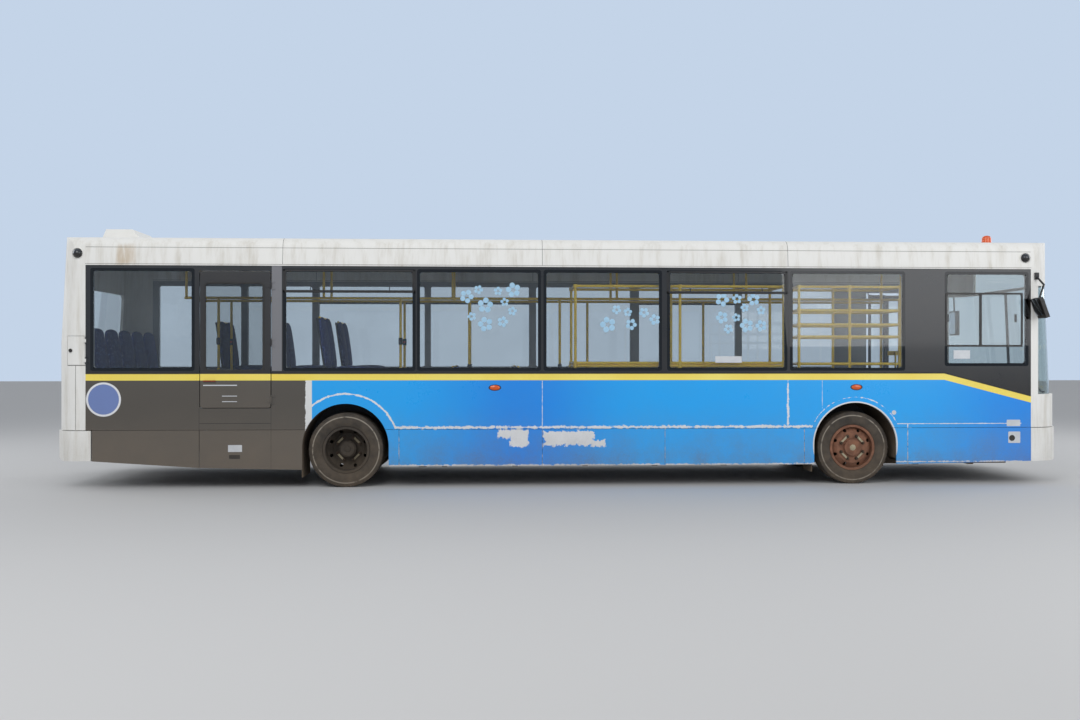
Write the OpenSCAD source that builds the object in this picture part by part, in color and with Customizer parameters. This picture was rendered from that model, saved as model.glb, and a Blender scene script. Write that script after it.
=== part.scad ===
// Airport passenger bus: single deck, low floor, right-hand drive, luggage racks inside.
// +X is forward, +Y is the entrance side, +Z is up, and the ground is at Z = 0.

/* [Body] */
// Length over the bumpers
overall_length = 11600; // [11590:10:11700]
// Width over the side panels
body_width = 2440; // [2420:5:2470]
// Height of the roof crown
roof_crown = 2865; // [2845:5:2885]
// Height of the roof above the side walls
roof_rise = 375; // [370:1:385]
// Height of the seam between wall and skirt
skirt_seam = 655; // [640:1:670]
// Thickness of a side wall
wall_t = 45; // [40:1:50]
// Thickness of the roof and end mouldings
shell_t = 40; // [34:1:44]
// Thickness of a window pane
glass_t = 8; // [6:0.5:10]
// Thickness of a skirt panel
skirt_t = 20; // [14:1:26]

/* [Running gear] */
// From the front of the bus to the front axle
front_overhang = 2550; // [2545:1:2555]
// From the rear of the bus to the rear axle
rear_overhang = 3225; // [3220:1:3230]
// Radius of a tyre
tyre_r = 420; // [410:1:424]
// Width of a tyre
tyre_w = 248; // [240:1:255]
// Distance from the side plane in to the middle of a front tyre
front_inset = 210; // [205:1:214]
// Distance from the side plane in to the middle of an outer rear tyre
rear_inset = 158; // [154:1:162]
// Distance between the two tyres of a rear pair
dual_spacing = 284; // [280:1:288]
// Radius of a wheel arch
arch_r = 482; // [478:1:490]
// Distance from the middle of a front tyre in to its kingpin
kingpin_offset = 160; // [157:1:163]
// Length of a steering arm
steer_arm = 180; // [170:1:190]

/* [Doors] */
// Width of an entrance door panel, from hinge to hinge
panel_w = 240; // [239:0.5:240.5]
// Thickness of the entrance door panels
leaf_t = 28; // [24:1:29]
// Thickness of the emergency door
edoor_t = 40; // [34:1:42]

/* [Saloon] */
// Height of the low floor
low_floor = 340; // [336:1:346]
// Height of the rear platform
high_floor = 900; // [894:1:906]
// Diameter of a handrail tube
rail_d = 32; // [28:1:36]
// Gap between a shaft and its bore
run_gap = 0.05; // [0.02:0.01:0.1]
// Gap between a piece and its seat
seat_gap = 0.3; // [0.2:0.05:0.5]

/* [Hidden] */
$fn = 48;
wide_fn = 720;
half = body_width / 2;
front_tip = overall_length / 2;
rear_tip = -front_tip;
front_seam = front_tip - 476;
rear_seam = rear_tip + 365;
nose_x = front_tip - 25;
rear_x = rear_tip + 25;
wall_top = roof_crown - roof_rise;
front_axle_x = front_tip - front_overhang;
rear_axle_x = rear_tip + rear_overhang;
arch_z = tyre_r + 42;
axle_z = tyre_r;
inner_y = half - wall_t;
front_track = half - front_inset;
outer_track = half - rear_inset;
inner_track = outer_track - dual_spacing;
kingpin_y = front_track - kingpin_offset;
doorway = [front_seam - 1071, front_seam - 37];
doorway_top = wall_top - 130;
// Post axes of the folding entrance door, at its corners and 16 mm in from the side
front_post_x = doorway[1] - 37;
rear_post_x = doorway[0] + 37;
fold_y = half - 16;
post_r = 8;
sill_t = 20;
edoor = [rear_seam + 1251, rear_seam + 2028];
edoor_z = [900, wall_top - 65];
edoor_hinge = [edoor[1] + 8, -(half + 9)];
engine_cover_z = [700, 1270];
engine_cover_y = 610;
cover_hinge = [rear_x - 14, engine_cover_z[1] + 11];
cover_barrels = [-450, 400];
barrel_len = 50;
flap_z = [1380, 1700];
flap_x = rear_seam - 205;
flap_hinge = [rear_seam + 2, -(half + 7)];
flap_hinges = [flap_z[0] + 30, flap_z[1] - 70];
aisle_y = half - 920;
cab_wall_x = front_seam - 1024;
cab_wall_t = 25;
cab_hinge = [cab_wall_x + 45, -(aisle_y - 15)];
wheel_tilt = 25;
driver_y = half - 520;
steer_hub = [front_seam - 284, -driver_y, 1130];
rack_start = rear_axle_x + 2595;

// A place measured forward from the rear seam, and one measured back from the front seam
function behind(d) = rear_seam + d;
function ahead(d) = front_seam - d;
// Window bays: rear edge, front edge
rear_bay = [behind(52), behind(1192)];
edoor_bay = [behind(1220), behind(2135)];
low_bays = [[behind(2166), behind(3642)], [behind(3659), behind(5058)], [behind(5087), ahead(4319)],
            [ahead(4261), ahead(2868)], [ahead(2839), ahead(1490)]];
bays_right = concat([rear_bay], low_bays);
bays_left = concat([rear_bay, edoor_bay], low_bays);
bay_z = [1312, wall_top - 32];
driver_bay = [ahead(1024), ahead(28)];
driver_z = [1365, wall_top - 32];
// Opening top vents, by the bay that each stands in
vent_in = 7;
vents_right = [low_bays[0], low_bays[3]];
vents_left = [low_bays[0], low_bays[1], low_bays[3]];
vent_z = [wall_top - 300, wall_top - 40];
// Carriers behind the skirt panels: on both sides, and on the driver's side only
carriers = [behind(235), behind(1285), behind(2135), behind(3385), behind(3935), behind(4735),
            behind(5535), ahead(4424), ahead(3624), ahead(2924), ahead(2624), ahead(1554),
            ahead(1374), ahead(34)];
door_side_carriers = [ahead(924), ahead(424)];
// Joints between the skirt panels
skirt_joints = [behind(1243), behind(3457), behind(5073), ahead(4284), ahead(2671), ahead(1460)];

// A box between two corners
module bx(x, y, z) {
  translate([x[0], y[0], z[0]]) cube([x[1] - x[0], y[1] - y[0], z[1] - z[0]]);
}

// A flat outline with round corners
module rrect(x, z, r) {
  translate([x[0] + r, z[0]]) square([x[1] - x[0] - 2 * r, z[1] - z[0]]);
  translate([x[0], z[0] + r]) square([x[1] - x[0], z[1] - z[0] - 2 * r]);
  for (px = [x[0] + r, x[1] - r], pz = [z[0] + r, z[1] - r]) translate([px, pz]) circle(r);
}

// An X-Z outline stood up between two depths below the side plane; side is 1 left, -1 right
module at_side(side, d0, d1) {
  mirror([0, side < 0 ? 1 : 0, 0]) translate([0, half - d0, 0])
    rotate([90, 0, 0]) linear_extrude(d1 - d0) children();
}

// An X-Z outline stood up between two Y values
module along_y(y) {
  translate([0, y[1], 0]) rotate([90, 0, 0]) linear_extrude(y[1] - y[0]) children();
}

// A Y-Z outline run between two X values
module along_x(x) {
  translate([x[0], 0, 0]) rotate([90, 0, 90]) linear_extrude(x[1] - x[0]) children();
}

// A round bar between two points on one plane of X and Z, or any straight line
module rod(a, b, r) {
  v = b - a;
  len = norm(v);
  translate(a) rotate([0, acos(v[2] / len), atan2(v[1], v[0])]) cylinder(r = r, h = len);
}

// Both sides of the bus
module both() {
  children();
  mirror([0, 1, 0]) children();
}

// Construction: ladder rails, cross members, outriggers, towing eyes and jacking pads
rail_y = [half - 860, half - 790];
low_rail_z = [165, 300];
high_rail_z = [740, 860];
member_z = [780, high_rail_z[1]];
member_w = 60;
kick_x = [rear_axle_x + 415, rear_axle_x + 511];
low_floor_x = [rear_axle_x + 825, front_seam - 4];
end_beam = [front_seam + 216, front_seam + 276];
rear_beam = [rear_seam - 165, rear_seam - 105];
tow_eye_r = 25;
tow_y = 500;
tow_reach = 60;
// Cross members under the low floor and under the rear platform
low_members = [behind(3935), behind(4735), behind(5535), ahead(4424), ahead(3624), ahead(2924),
               ahead(1374), ahead(724)];
wing_members = [rear_axle_x - 2625, rear_axle_x - 1625, rear_axle_x - 725];
high_members = concat(wing_members, [kick_x[0] + 36]);
jack_x = [front_axle_x - 610, rear_axle_x + 815];
// Cross members between the rails and outriggers beside them, each on its seat
module members(places, z, outrigger_z, wings) {
  inner = rail_y[0] - seat_gap;
  for (x = places) bx([x, x + member_w], [-inner, inner], z);
  both() for (x = wings) bx([x, x + member_w], [rail_y[1] + seat_gap, inner_y], outrigger_z);
}
module chassis_frame() {
  color([0.16, 0.16, 0.17]) {
    both() union() {
      bx([kick_x[0], front_axle_x - 370], rail_y, low_rail_z);
      bx([front_axle_x - 370, front_axle_x + 230], rail_y, [264, low_rail_z[1]]);
      bx([front_axle_x + 230, front_seam + 96], rail_y, low_rail_z);
      bx(kick_x, rail_y, [low_rail_z[0], high_rail_z[1]]);
      bx([rear_beam[1], kick_x[1]], rail_y, high_rail_z);
      bx([front_seam + 96, end_beam[0]], rail_y, [low_rail_z[1], 420]);
      bx([front_seam + 26, front_seam + 96], rail_y, [low_rail_z[0], 420]);
    }
    members(low_members, [200, 300], [225, 300], low_members);
    members(high_members, member_z, member_z, wing_members);
    front_end();
    rear_end();
    // Jacking pads
    for (x = jack_x, s = [-1, 1])
      translate([x, s * (rail_y[0] + 35), low_rail_z[0] - 15]) cylinder(r = 50, h = 15 - seat_gap);
  }
}
// End beams, each with its bumper irons and towing eye
module front_end() {
  union() {
    bx([end_beam[0] + seat_gap, end_beam[1]], [-900, 900], [306, 420]);
    both() {
      bx([end_beam[1] - 20, end_beam[1]], [600, 620], [306, 500]);
      bx([end_beam[1], front_tip - shell_t - 13], [600, 620], [455, 500]);
    }
    tow_eye(end_beam[1], 360, 1);
  }
}
module rear_end() {
  union() {
    bx([rear_beam[0], rear_beam[1] - seat_gap], [-900, 900], [560, high_rail_z[1]]);
    both() bx([rear_tip + shell_t, rear_beam[0]], [600, 660], [560, 620]);
    tow_eye(rear_beam[0], 600, -1);
  }
}
module tow_eye(x, z, dir) {
  tip = x + dir * tow_reach;
  difference() {
    union() {
      translate([tip, tow_y, z - 15]) cylinder(r = 2 * tow_eye_r, h = 30);
      bx([min(x, tip), max(x, tip)], [tow_y - 50, tow_y + 50], [z - 15, z + 15]);
    }
    translate([tip, tow_y, z - 20]) cylinder(r = tow_eye_r, h = 40);
  }
}

// Floor: low deck, two steps, rear platform and the four wheel boxes
deck_t = 40;
box_front_y = half - 740;
box_rear_y = half - 620;
box_t = 20;
box_top = 1000;
// Half the length of a wheel box, outside
box_half = 530;
platform_x = [rear_seam + 35, rear_axle_x + 575];
step_x = rear_axle_x + 765;
step_z = [580, 620];
riser_t = 60;
cab_floor = 500;
hump_x = rear_seam + 485;
hump_top = 1150;
module floor() {
  color([0.30, 0.32, 0.36]) union() {
    difference() {
      union() {
        bx(low_floor_x, [-inner_y, inner_y], [low_floor - deck_t, low_floor]);
        bx([step_x, low_floor_x[0]], [-inner_y, inner_y], [low_floor - deck_t, step_z[1]]);
        bx([platform_x[1], step_x], [-inner_y, inner_y], step_z);
        bx([platform_x[1] - riser_t, platform_x[1]], [-inner_y, inner_y], [step_z[0], high_floor]);
        bx(platform_x, [-inner_y, inner_y], [high_floor - deck_t, high_floor]);
      }
      // Wheel openings
      for (s = [-1, 1]) {
        wheel_hole(front_axle_x, box_front_y, s);
        wheel_hole(rear_axle_x, box_rear_y, s);
      }
    }
    both() {
      wheel_box(front_axle_x, box_front_y);
      difference() {
        wheel_box(rear_axle_x, box_rear_y);
        // Way of the rear axle
        bx([rear_axle_x - 100, rear_axle_x + 100], [box_rear_y - 1, box_rear_y + box_t + 1], [200, 560]);
      }
    }
    // Driver's platform
    bx([cab_wall_x - 10, front_seam - 14], [-inner_y, -aisle_y], [low_floor, cab_floor]);
    // Engine hump under the rear bench
    bx([platform_x[0], hump_x], [-inner_y, inner_y], [high_floor, hump_top]);
    // Sill of the entrance, with holes for the door posts
    difference() {
      bx([doorway[0] + 0.3, doorway[1] - 0.3], [inner_y - 1, half - 1],
         [low_floor - sill_t + 0.3, low_floor]);
      post_holes([low_floor - deck_t, low_floor + 1]);
    }
  }
}
module wheel_hole(x, y, s) {
  in = box_half - box_t;
  bx([x - in, x + in], s > 0 ? [y + box_t, inner_y + 1] : [-inner_y - 1, -y - box_t],
     [100, box_top - box_t]);
}
module wheel_box(x, y) {
  difference() {
    bx([x - box_half, x + box_half], [y, inner_y], [low_floor - deck_t, box_top]);
    wheel_hole(x, y, 1);
  }
}

// Side walls: one full skin with pane rebates, window openings and wheel arches
module wall_outline() {
  difference() {
    translate([rear_seam, skirt_seam]) square([front_seam - rear_seam, wall_top - skirt_seam]);
    for (x = [front_axle_x, rear_axle_x]) translate([x, arch_z]) circle(arch_r, $fn = 96);
  }
}
module bay_cuts(side, bays) {
  at_side(side, -1, glass_t) for (b = bays) rrect(b, bay_z, 28);
  at_side(side, glass_t - 1, wall_t + 1)
    for (b = bays) rrect([b[0] + 30, b[1] - 30], [bay_z[0] + 30, bay_z[1] - 30], 40);
}
module side_wall_right() {
  color([0.20, 0.42, 0.78]) difference() {
    at_side(-1, 0, wall_t) wall_outline();
    bay_cuts(-1, bays_right);
    at_side(-1, -1, glass_t) rrect(driver_bay, driver_z, 28);
    at_side(-1, glass_t - 1, wall_t + 1)
      rrect([driver_bay[0] + 30, driver_bay[1] - 30], [driver_z[0] + 30, driver_z[1] - 30], 40);
    // Emergency door opening
    at_side(-1, -1, wall_t + 1)
      rrect([edoor[0] - 8, edoor[1] + 10], [edoor_z[0] - 6, edoor_z[1] + 8], 30);
  }
  // Hinge pins with a barrel above and below each door barrel
  color([0.25, 0.26, 0.27]) {
    for (z = edoor_hinges) hinge_pin(edoor_hinge, z, 60, 8, 5, 40);
    for (z = flap_hinges) hinge_pin(flap_hinge, z, 40, 6, 3, 24);
  }
}
// A hinge pin on the side wall: the barrels stand on plates ahead of the opening
module hinge_pin(at, z, len, r, pin, reach) {
  union() {
    translate([at[0], at[1], z - 16]) cylinder(r = pin, h = len + 32);
    for (z0 = [z - 16, z + len + 1]) {
      translate([at[0], at[1], z0]) cylinder(r = r, h = 15);
      bx([at[0], at[0] + reach], [at[1], -half + 1], [z0, z0 + 15]);
    }
  }
}
module side_wall_left() {
  color([0.20, 0.42, 0.78]) difference() {
    at_side(1, 0, wall_t) wall_outline();
    bay_cuts(1, bays_left);
    bx(doorway, [half - wall_t - 1, half + 1], [low_floor, doorway_top]);
    post_holes([doorway_top - 1, doorway_top + 40]);
  }
}
// Holes for the posts of the entrance door, between two heights
module post_holes(z) {
  for (x = [front_post_x, rear_post_x])
    translate([x, fold_y, z[0]]) cylinder(r = post_r + run_gap, h = z[1] - z[0]);
}

// Skirt panels: rear, middle and front lengths on both sides, split at the joints
module skirt_outline(side) {
  difference() {
    union() {
      polygon([[rear_seam + 70, skirt_seam - 4], [rear_seam + 70, 309], [behind(1229), 231],
               [rear_axle_x - arch_r, 205], [rear_axle_x - arch_r, skirt_seam - 4]]);
      translate([rear_axle_x + arch_r, 238])
        square([front_axle_x - rear_axle_x - 2 * arch_r, skirt_seam - 4 - 238]);
      polygon([[front_axle_x + arch_r, skirt_seam - 4], [front_axle_x + arch_r, 237], [ahead(1375), 237],
               [front_seam, 264], [front_seam, skirt_seam - 4]]);
      for (x = [front_axle_x, rear_axle_x])
        translate([x - arch_r, arch_z]) square([2 * arch_r, skirt_seam - 4 - arch_z]);
    }
    for (x = [front_axle_x, rear_axle_x]) translate([x, arch_z]) circle(arch_r, $fn = 96);
    for (x = skirt_joints) translate([x - 2, 150]) square([4, 600]);
    if (side > 0) translate([doorway[0], low_floor - sill_t]) square([doorway[1] - doorway[0], 600]);
  }
}
module skirt_panels() {
  color([0.20, 0.42, 0.78]) {
    for (s = [-1, 1]) at_side(s, 0, skirt_t) skirt_outline(s);
    // Carriers between the panels and the wall and outriggers
    both() for (x = carriers) bx([x, x + 30], [inner_y, half - skirt_t], [300, skirt_seam]);
    for (x = door_side_carriers) bx([x, x + 30], [-half + skirt_t, -inner_y], [300, skirt_seam]);
    bx([doorway[0], doorway[1]], [inner_y, half - skirt_t], [300, low_floor - sill_t]);
  }
}

// Roof: cove panels, round edges and a slightly arched top
cove_in = 18;
cove_top = wall_top + 200;
edge_r = 130;
module roof_section(t) {
  w = half - cove_in - t;
  camber = 11000;
  difference() {
    intersection() {
      union() {
        translate([-w, wall_top - 5]) square([2 * w, roof_crown - 175 - wall_top + 5]);
        translate([-w + edge_r, wall_top - 5]) square([2 * (w - edge_r), 500]);
        for (s = [-1, 1]) translate([s * (w - edge_r), roof_crown - 50 - edge_r - t])
          circle(edge_r, $fn = 96);
        for (s = [-1, 1])
          polygon([[s * (w - 60), wall_top], [s * (half - t), wall_top], [s * w, cove_top],
                   [s * (w - 60), cove_top]]);
      }
      translate([0, roof_crown - t - camber]) circle(camber, $fn = wide_fn);
    }
    translate([-half, wall_top - 50]) square([2 * half, 50]);
  }
}
module roof() {
  color([0.93, 0.93, 0.91]) union() {
    difference() {
      along_x([rear_seam, front_seam]) roof_section(0);
      along_x([rear_seam - 1, front_seam + 1]) translate([0, -1]) roof_section(shell_t);
    }
    // Drip rail
    both() bx([rear_seam, front_seam], [half - 6, half + 7], [wall_top, wall_top + 16]);
  }
}

// Plan of the front end: straight sides, round corners and a slight bow
module front_plan(x, r, w) {
  bow = 15000;
  intersection() {
    union() {
      translate([front_seam, -w]) square([x - 20 - r - front_seam, 2 * w]);
      translate([front_seam, -(w - r)]) square([x - front_seam, 2 * (w - r)]);
      for (s = [-1, 1]) translate([x - 20 - r, s * (w - r)]) circle(r, $fn = 96);
    }
    translate([x - bow, 0]) circle(bow, $fn = wide_fn);
    translate([front_seam, -w]) square([1000, 2 * w]);
  }
}
nose_top = 1040;
screen_z = [nose_top, roof_crown - 565];
screen_lean = atan2(57, 1280);
screen_x = nose_x - 70;
screen_r = 350;
// The windscreen's shape: the plan leant back by the rake
module screen_shape(t) {
  intersection() {
    translate([screen_x, 0, screen_z[0]]) rotate([0, -screen_lean, 0])
      translate([-screen_x, 0, -60]) linear_extrude(1500) front_plan(screen_x - t, screen_r - t, half - t);
    bx([front_seam, front_tip], [-half, half], screen_z);
  }
}
dest_y = 790;
dest_z = [roof_crown - 535, roof_crown - 225];
dome_x = nose_x - 130;
dome_r = 330;
module dome_shape(t) {
  top = roof_crown - t;
  intersection() {
    translate([0, 0, screen_z[1]]) linear_extrude(700) front_plan(dome_x - t, dome_r - t, half - t);
    union() {
      along_x([front_seam, front_tip]) roof_section(t);
      bx([front_seam, front_tip], [-half + t, half - t], [screen_z[1], wall_top]);
    }
    along_y([-half, half]) union() {
      translate([front_seam, screen_z[1] - 1]) square([dome_x - front_seam, top - 90 - screen_z[1]]);
      translate([front_seam, screen_z[1] - 1]) square([dome_x - t - 90 - front_seam, top + 1 - screen_z[1]]);
      translate([dome_x - t - 90, top - 91]) circle(90, $fn = 96);
    }
  }
}
lamp_y = [500, 690];
lamp_z = 850;
lamp_r = 78;
module front_moulding() {
  color([0.94, 0.94, 0.93]) union() {
    // Dome over the windscreen
    difference() {
      dome_shape(0);
      translate([-0.01, 0, -1]) dome_shape(shell_t);
      bx([dome_x - 200, front_tip], [-dest_y, dest_y], dest_z);
    }
    // Corner pillars
    difference() {
      translate([0, 0, screen_z[0] - 10]) linear_extrude(screen_z[1] - screen_z[0] + 20)
        front_plan(nose_x, 430, half);
      linear_extrude(3000) front_plan(nose_x - shell_t, 430 - shell_t, half - shell_t);
      bx([front_seam + 92, front_tip], [-half - 1, half + 1], [0, 3000]);
    }
    // Nose panel with its shelf under the windscreen
    difference() {
      translate([0, 0, skirt_seam]) linear_extrude(nose_top - skirt_seam) front_plan(nose_x, 430, half);
      translate([0, 0, skirt_seam - 1]) linear_extrude(nose_top - 28 - skirt_seam)
        front_plan(nose_x - shell_t, 430 - shell_t, half - shell_t);
      translate([0, 0, nose_top - shell_t]) linear_extrude(60)
        front_plan(screen_x - 60, screen_r - 60, half - 60);
      for (s = [-1, 1], y = lamp_y)
        translate([nose_x - 80, s * y, lamp_z]) rotate([0, 90, 0]) cylinder(r = lamp_r, h = 120);
    }
  }
}
bumper_top = 648;
bumper_low = 262;
module bumper_shape(t) {
  r = 150;
  intersection() {
    translate([0, 0, bumper_low]) linear_extrude(bumper_top - bumper_low)
      front_plan(front_tip - t, 452 - t, half - t + 4);
    along_y([-half - 10, half + 10]) union() {
      translate([front_seam, bumper_low]) square([front_tip - t - r - front_seam, bumper_top - bumper_low]);
      translate([front_seam, bumper_low + r]) square([front_tip - front_seam, bumper_top - bumper_low - r]);
      translate([front_tip - t - r, bumper_low + r]) circle(r, $fn = 96);
    }
  }
}
module front_bumper() {
  color([0.93, 0.93, 0.92]) difference() {
    bumper_shape(0);
    translate([-0.01, 0, shell_t]) bumper_shape(shell_t);
    translate([0, 0, 200]) linear_extrude(500) front_plan(front_tip - 170, 282, half - 170);
    // Way to the towing eye, from ahead and from below
    bx([front_tip - 100, front_tip + 1], [tow_y - 60, tow_y + 60], [320, 400]);
    bx([end_beam[1], end_beam[1] + 2 * tow_reach], [tow_y - 60, tow_y + 60], [200, 400]);
  }
}

// Plan of the rear end
module rear_plan(x, r, w, extra = 0) {
  intersection() {
    union() {
      translate([x + r, -w]) square([3 * r, 2 * w]);
      translate([x, -(w - r)]) square([r + 10, 2 * (w - r)]);
      for (s = [-1, 1]) translate([x + r, s * (w - r)]) circle(r, $fn = 96);
    }
    translate([x - 1, -half]) square([rear_seam + extra - x + 1, 2 * half]);
  }
}
rear_bend = 1640;
rear_lean = atan2(55, 1060);
rear_r = 250;
// The leant part stands this much inside the upright one
bend_step = 1;
// Everything above the bend in the rear end, cut on the mitre between both parts
module above_bend() {
  translate([rear_x, 0, rear_bend]) rotate([0, rear_lean / 2, 0])
    bx([-500, 1500], [-2000, 2000], [0, 2500]);
}
// The upright part below the bend and the leant part above it, both t inside the skin
// and running past it; an inner one also runs past the seam by e
module rear_low(t, e) {
  translate([0, 0, skirt_seam - e]) linear_extrude(1200) rear_plan(rear_x + t, rear_r - t, half - t, e);
}
module rear_high(t, e) {
  top = roof_crown - t;
  intersection() {
    translate([rear_x, 0, rear_bend]) rotate([0, rear_lean, 0]) translate([-rear_x, 0, -60])
      linear_extrude(1600) rear_plan(rear_x + t, rear_r - t, half - t, 120);
    union() {
      along_x([rear_tip, rear_seam + e]) roof_section(t);
      bx([rear_tip, rear_seam + e], [-half + t, half - t], [rear_bend - 100, wall_top]);
    }
    along_y([-half, half]) union() {
      translate([rear_x + 137 + t, rear_bend - 100]) square([1000, top - rear_bend + 100]);
      translate([rear_x, rear_bend - 100]) square([1000, top - 80 - rear_bend + 100]);
      translate([rear_x + 137 + t, top - 80]) circle(80, $fn = 96);
    }
  }
}
module rear_shell(t, thick) {
  difference() {
    rear_low(t, 0);
    above_bend();
    rear_low(t + thick, 1);
  }
  difference() {
    intersection() {
      rear_high(t + bend_step, 0);
      above_bend();
    }
    rear_high(t + thick + bend_step, 1);
  }
}
rear_glass_y = 860;
rear_glass_z = [1665, roof_crown - 590];
tail_z = [760, 910, 1060, 1210];
tail_y = 790;
tail_r = 62;
module rear_moulding() {
  color([0.92, 0.92, 0.91]) rear_panel();
  // Hinge pins of the engine cover, each between two brackets on the panel
  color([0.25, 0.26, 0.27]) for (y = cover_barrels) union() {
    translate([cover_hinge[0], y - 16, cover_hinge[1]]) rotate([-90, 0, 0])
      cylinder(r = 4, h = barrel_len + 32);
    for (y0 = [y - 16, y + barrel_len + 1])
      bx([cover_hinge[0] - 6, rear_x - seat_gap], [y0, y0 + 15], [cover_hinge[1] - 5, cover_hinge[1] + 19]);
  }
}
module rear_panel() {
  difference() {
    rear_shell(0, shell_t);
    // Rear window
    along_x([rear_tip, rear_x + 160]) rrect([-rear_glass_y, rear_glass_y], rear_glass_z, 70);
    // Engine bay
    bx([rear_tip, rear_x + 100], [-engine_cover_y - 6, engine_cover_y + 6],
       [skirt_seam - 5, engine_cover_z[1] + 5]);
    // Lamp seats
    for (s = [-1, 1], z = tail_z)
      translate([rear_tip, s * tail_y, z]) rotate([0, 90, 0]) cylinder(r = tail_r, h = 100);
    // Corner flap
    bx([flap_x - 4, rear_seam - 4], [-half - 1, -half + 130], [flap_z[0] - 4, flap_z[1] + 4]);
  }
}
module rear_bumper_shape(t) {
  r = 120;
  intersection() {
    translate([0, 0, 312]) linear_extrude(bumper_top - 312) translate([-t, 0]) difference() {
      union() {
        translate([rear_tip + 2 * t + 262, -half - 4 + t]) square([160, 2 * (half + 4 - t)]);
        translate([rear_tip + 2 * t, -(half - 258)]) square([422, 2 * (half - 258)]);
        for (s = [-1, 1]) translate([rear_tip + t + 262, s * (half - 258)]) circle(262 - t, $fn = 96);
      }
    }
    along_y([-half - 10, half + 10]) union() {
      translate([rear_tip + t + r, 312]) square([600, bumper_top - 312]);
      translate([rear_tip, 312 + r]) square([600, bumper_top - 312 - r]);
      translate([rear_tip + t + r, 312 + r]) circle(r, $fn = 96);
    }
  }
}
module rear_bumper() {
  color([0.92, 0.92, 0.91]) difference() {
    rear_bumper_shape(0);
    bx([rear_tip + 250, rear_tip + 600], [-half + shell_t, half - shell_t], [200, 700]);
    bx([rear_tip + shell_t, rear_tip + 600], [-half + 250, half - 250], [330, 700]);
    bx([rear_tip - 1, rear_tip + 100], [tow_y - 60, tow_y + 60], [560, 640]);
    bx([rear_beam[0] - 2 * tow_reach, rear_beam[0]], [tow_y - 60, tow_y + 60], [300, 340]);
  }
}

// Windscreen halves and destination glass
module front_glass() {
  color([0.25, 0.30, 0.33, 0.6]) {
    difference() {
      screen_shape(0);
      translate([-0.01, 0, 0]) screen_shape(glass_t);
      bx([front_seam - 1, front_seam + 96], [-half - 1, half + 1], [0, 3000]);
      bx([front_seam, front_tip], [-10, 10], [0, 3000]);
    }
    intersection() {
      linear_extrude(3000) difference() {
        front_plan(dome_x - 10, dome_r - 10, half - 10);
        front_plan(dome_x - 10 - glass_t, dome_r - 10 - glass_t, half - 10 - glass_t);
      }
      bx([dome_x - 150, front_tip], [-dest_y, dest_y], dest_z);
    }
  }
}
module screen_bar() {
  intersection() {
    difference() {
      screen_shape(-2);
      translate([-0.01, 0, 0]) screen_shape(30);
    }
    bx([front_seam + 200, front_tip], [-10, 10], screen_z);
  }
}

// Side panes and rear window
module body_glass() {
  color([0.22, 0.26, 0.28, 0.6]) {
    at_side(-1, 0, glass_t) for (b = bays_right) rrect(b, bay_z, 28);
    at_side(1, 0, glass_t) for (b = bays_left) rrect(b, bay_z, 28);
    at_side(-1, 0, glass_t) rrect(driver_bay, driver_z, 28);
    intersection() {
      along_x([rear_tip, rear_x + 160]) rrect([-rear_glass_y, rear_glass_y], rear_glass_z, 70);
      translate([rear_x, 0, rear_bend]) rotate([0, rear_lean, 0])
        bx([4, 4 + glass_t], [-rear_glass_y - 10, rear_glass_y + 10], [-60, 800]);
    }
  }
}

// Frames of the top vents and of the driver's sliding window, and the windscreen's middle bar
frame_w = 22;
slider_x = [ahead(1015), ahead(98)];
slider_z = [1588, wall_top - 275];
slider_mid = ahead(608);
module frame_ring(x, z, w, r) {
  difference() {
    rrect(x, z, r);
    rrect([x[0] + w, x[1] - w], [z[0] + w, z[1] - w], max(r - w, 4));
  }
}
module vent_frame(bay) {
  frame_ring([bay[0] + 2 * vent_in, bay[1] - 2 * vent_in], vent_z, frame_w, 30);
}
module window_frames() {
  color([0.07, 0.07, 0.08]) {
    at_side(-1, -5, 0) for (v = vents_right) vent_frame(v);
    at_side(1, -5, 0) for (v = vents_left) vent_frame(v);
    at_side(-1, -6, 0) {
      frame_ring(slider_x, slider_z, frame_w, 35);
      translate([slider_mid, slider_z[0] + 10]) square([frame_w, slider_z[1] - slider_z[0] - 20]);
    }
    screen_bar();
  }
}

// Roof ventilator, amber beacon and two small camera domes
vent_x = [rear_seam - 146, rear_seam + 287];
vent_half = 350;
vent_base = roof_crown - 35;
vent_top = roof_crown + 127;
beacon = [front_seam - 108, -350];
module roof_fittings() {
  color([0.90, 0.90, 0.88]) difference() {
    union() {
      along_y([-vent_half, vent_half]) polygon([[vent_x[0], vent_base], [vent_x[0] + 67, vent_top],
        [vent_x[1] - 60, vent_top], [vent_x[1] + 76, vent_base]]);
      translate([beacon[0], beacon[1], roof_crown - 25]) cylinder(r = 62, h = 38);
      translate([beacon[0], beacon[1], roof_crown]) cylinder(r = 55, h = 83);
      translate([beacon[0], beacon[1], roof_crown + 73]) sphere(r = 40);
      camera_dome(front_seam - 64);
    }
    along_x([rear_tip, front_tip]) roof_section(-0.3);
  }
  // The rear corner is rounded, so the dome there reaches further in
  color([0.90, 0.90, 0.88]) difference() {
    camera_dome(rear_seam - 88);
    along_x([rear_tip, front_tip]) roof_section(0.7);
  }
}
module camera_dome(x) {
  translate([x, -half + 14, roof_crown - 245]) sphere(r = 52);
}

// Lamps: head, direction, tail and side marker lamps
module lamps() {
  color([0.9, 0.9, 0.88]) {
    for (s = [-1, 1]) {
      for (y = lamp_y)
        translate([nose_x - 70, s * y, lamp_z]) rotate([0, 90, 0]) cylinder(r = lamp_r, h = 52);
      for (z = tail_z)
        translate([rear_x - 4, s * tail_y, z]) rotate([0, 90, 0]) cylinder(r = tail_r, h = 42);
      // Side markers
      for (x = [front_axle_x + 12, rear_axle_x + 1675])
        at_side(s, -14, 0) rrect([x - 73, x + 73], [1086, 1158], 35);
    }
  }
}

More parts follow.
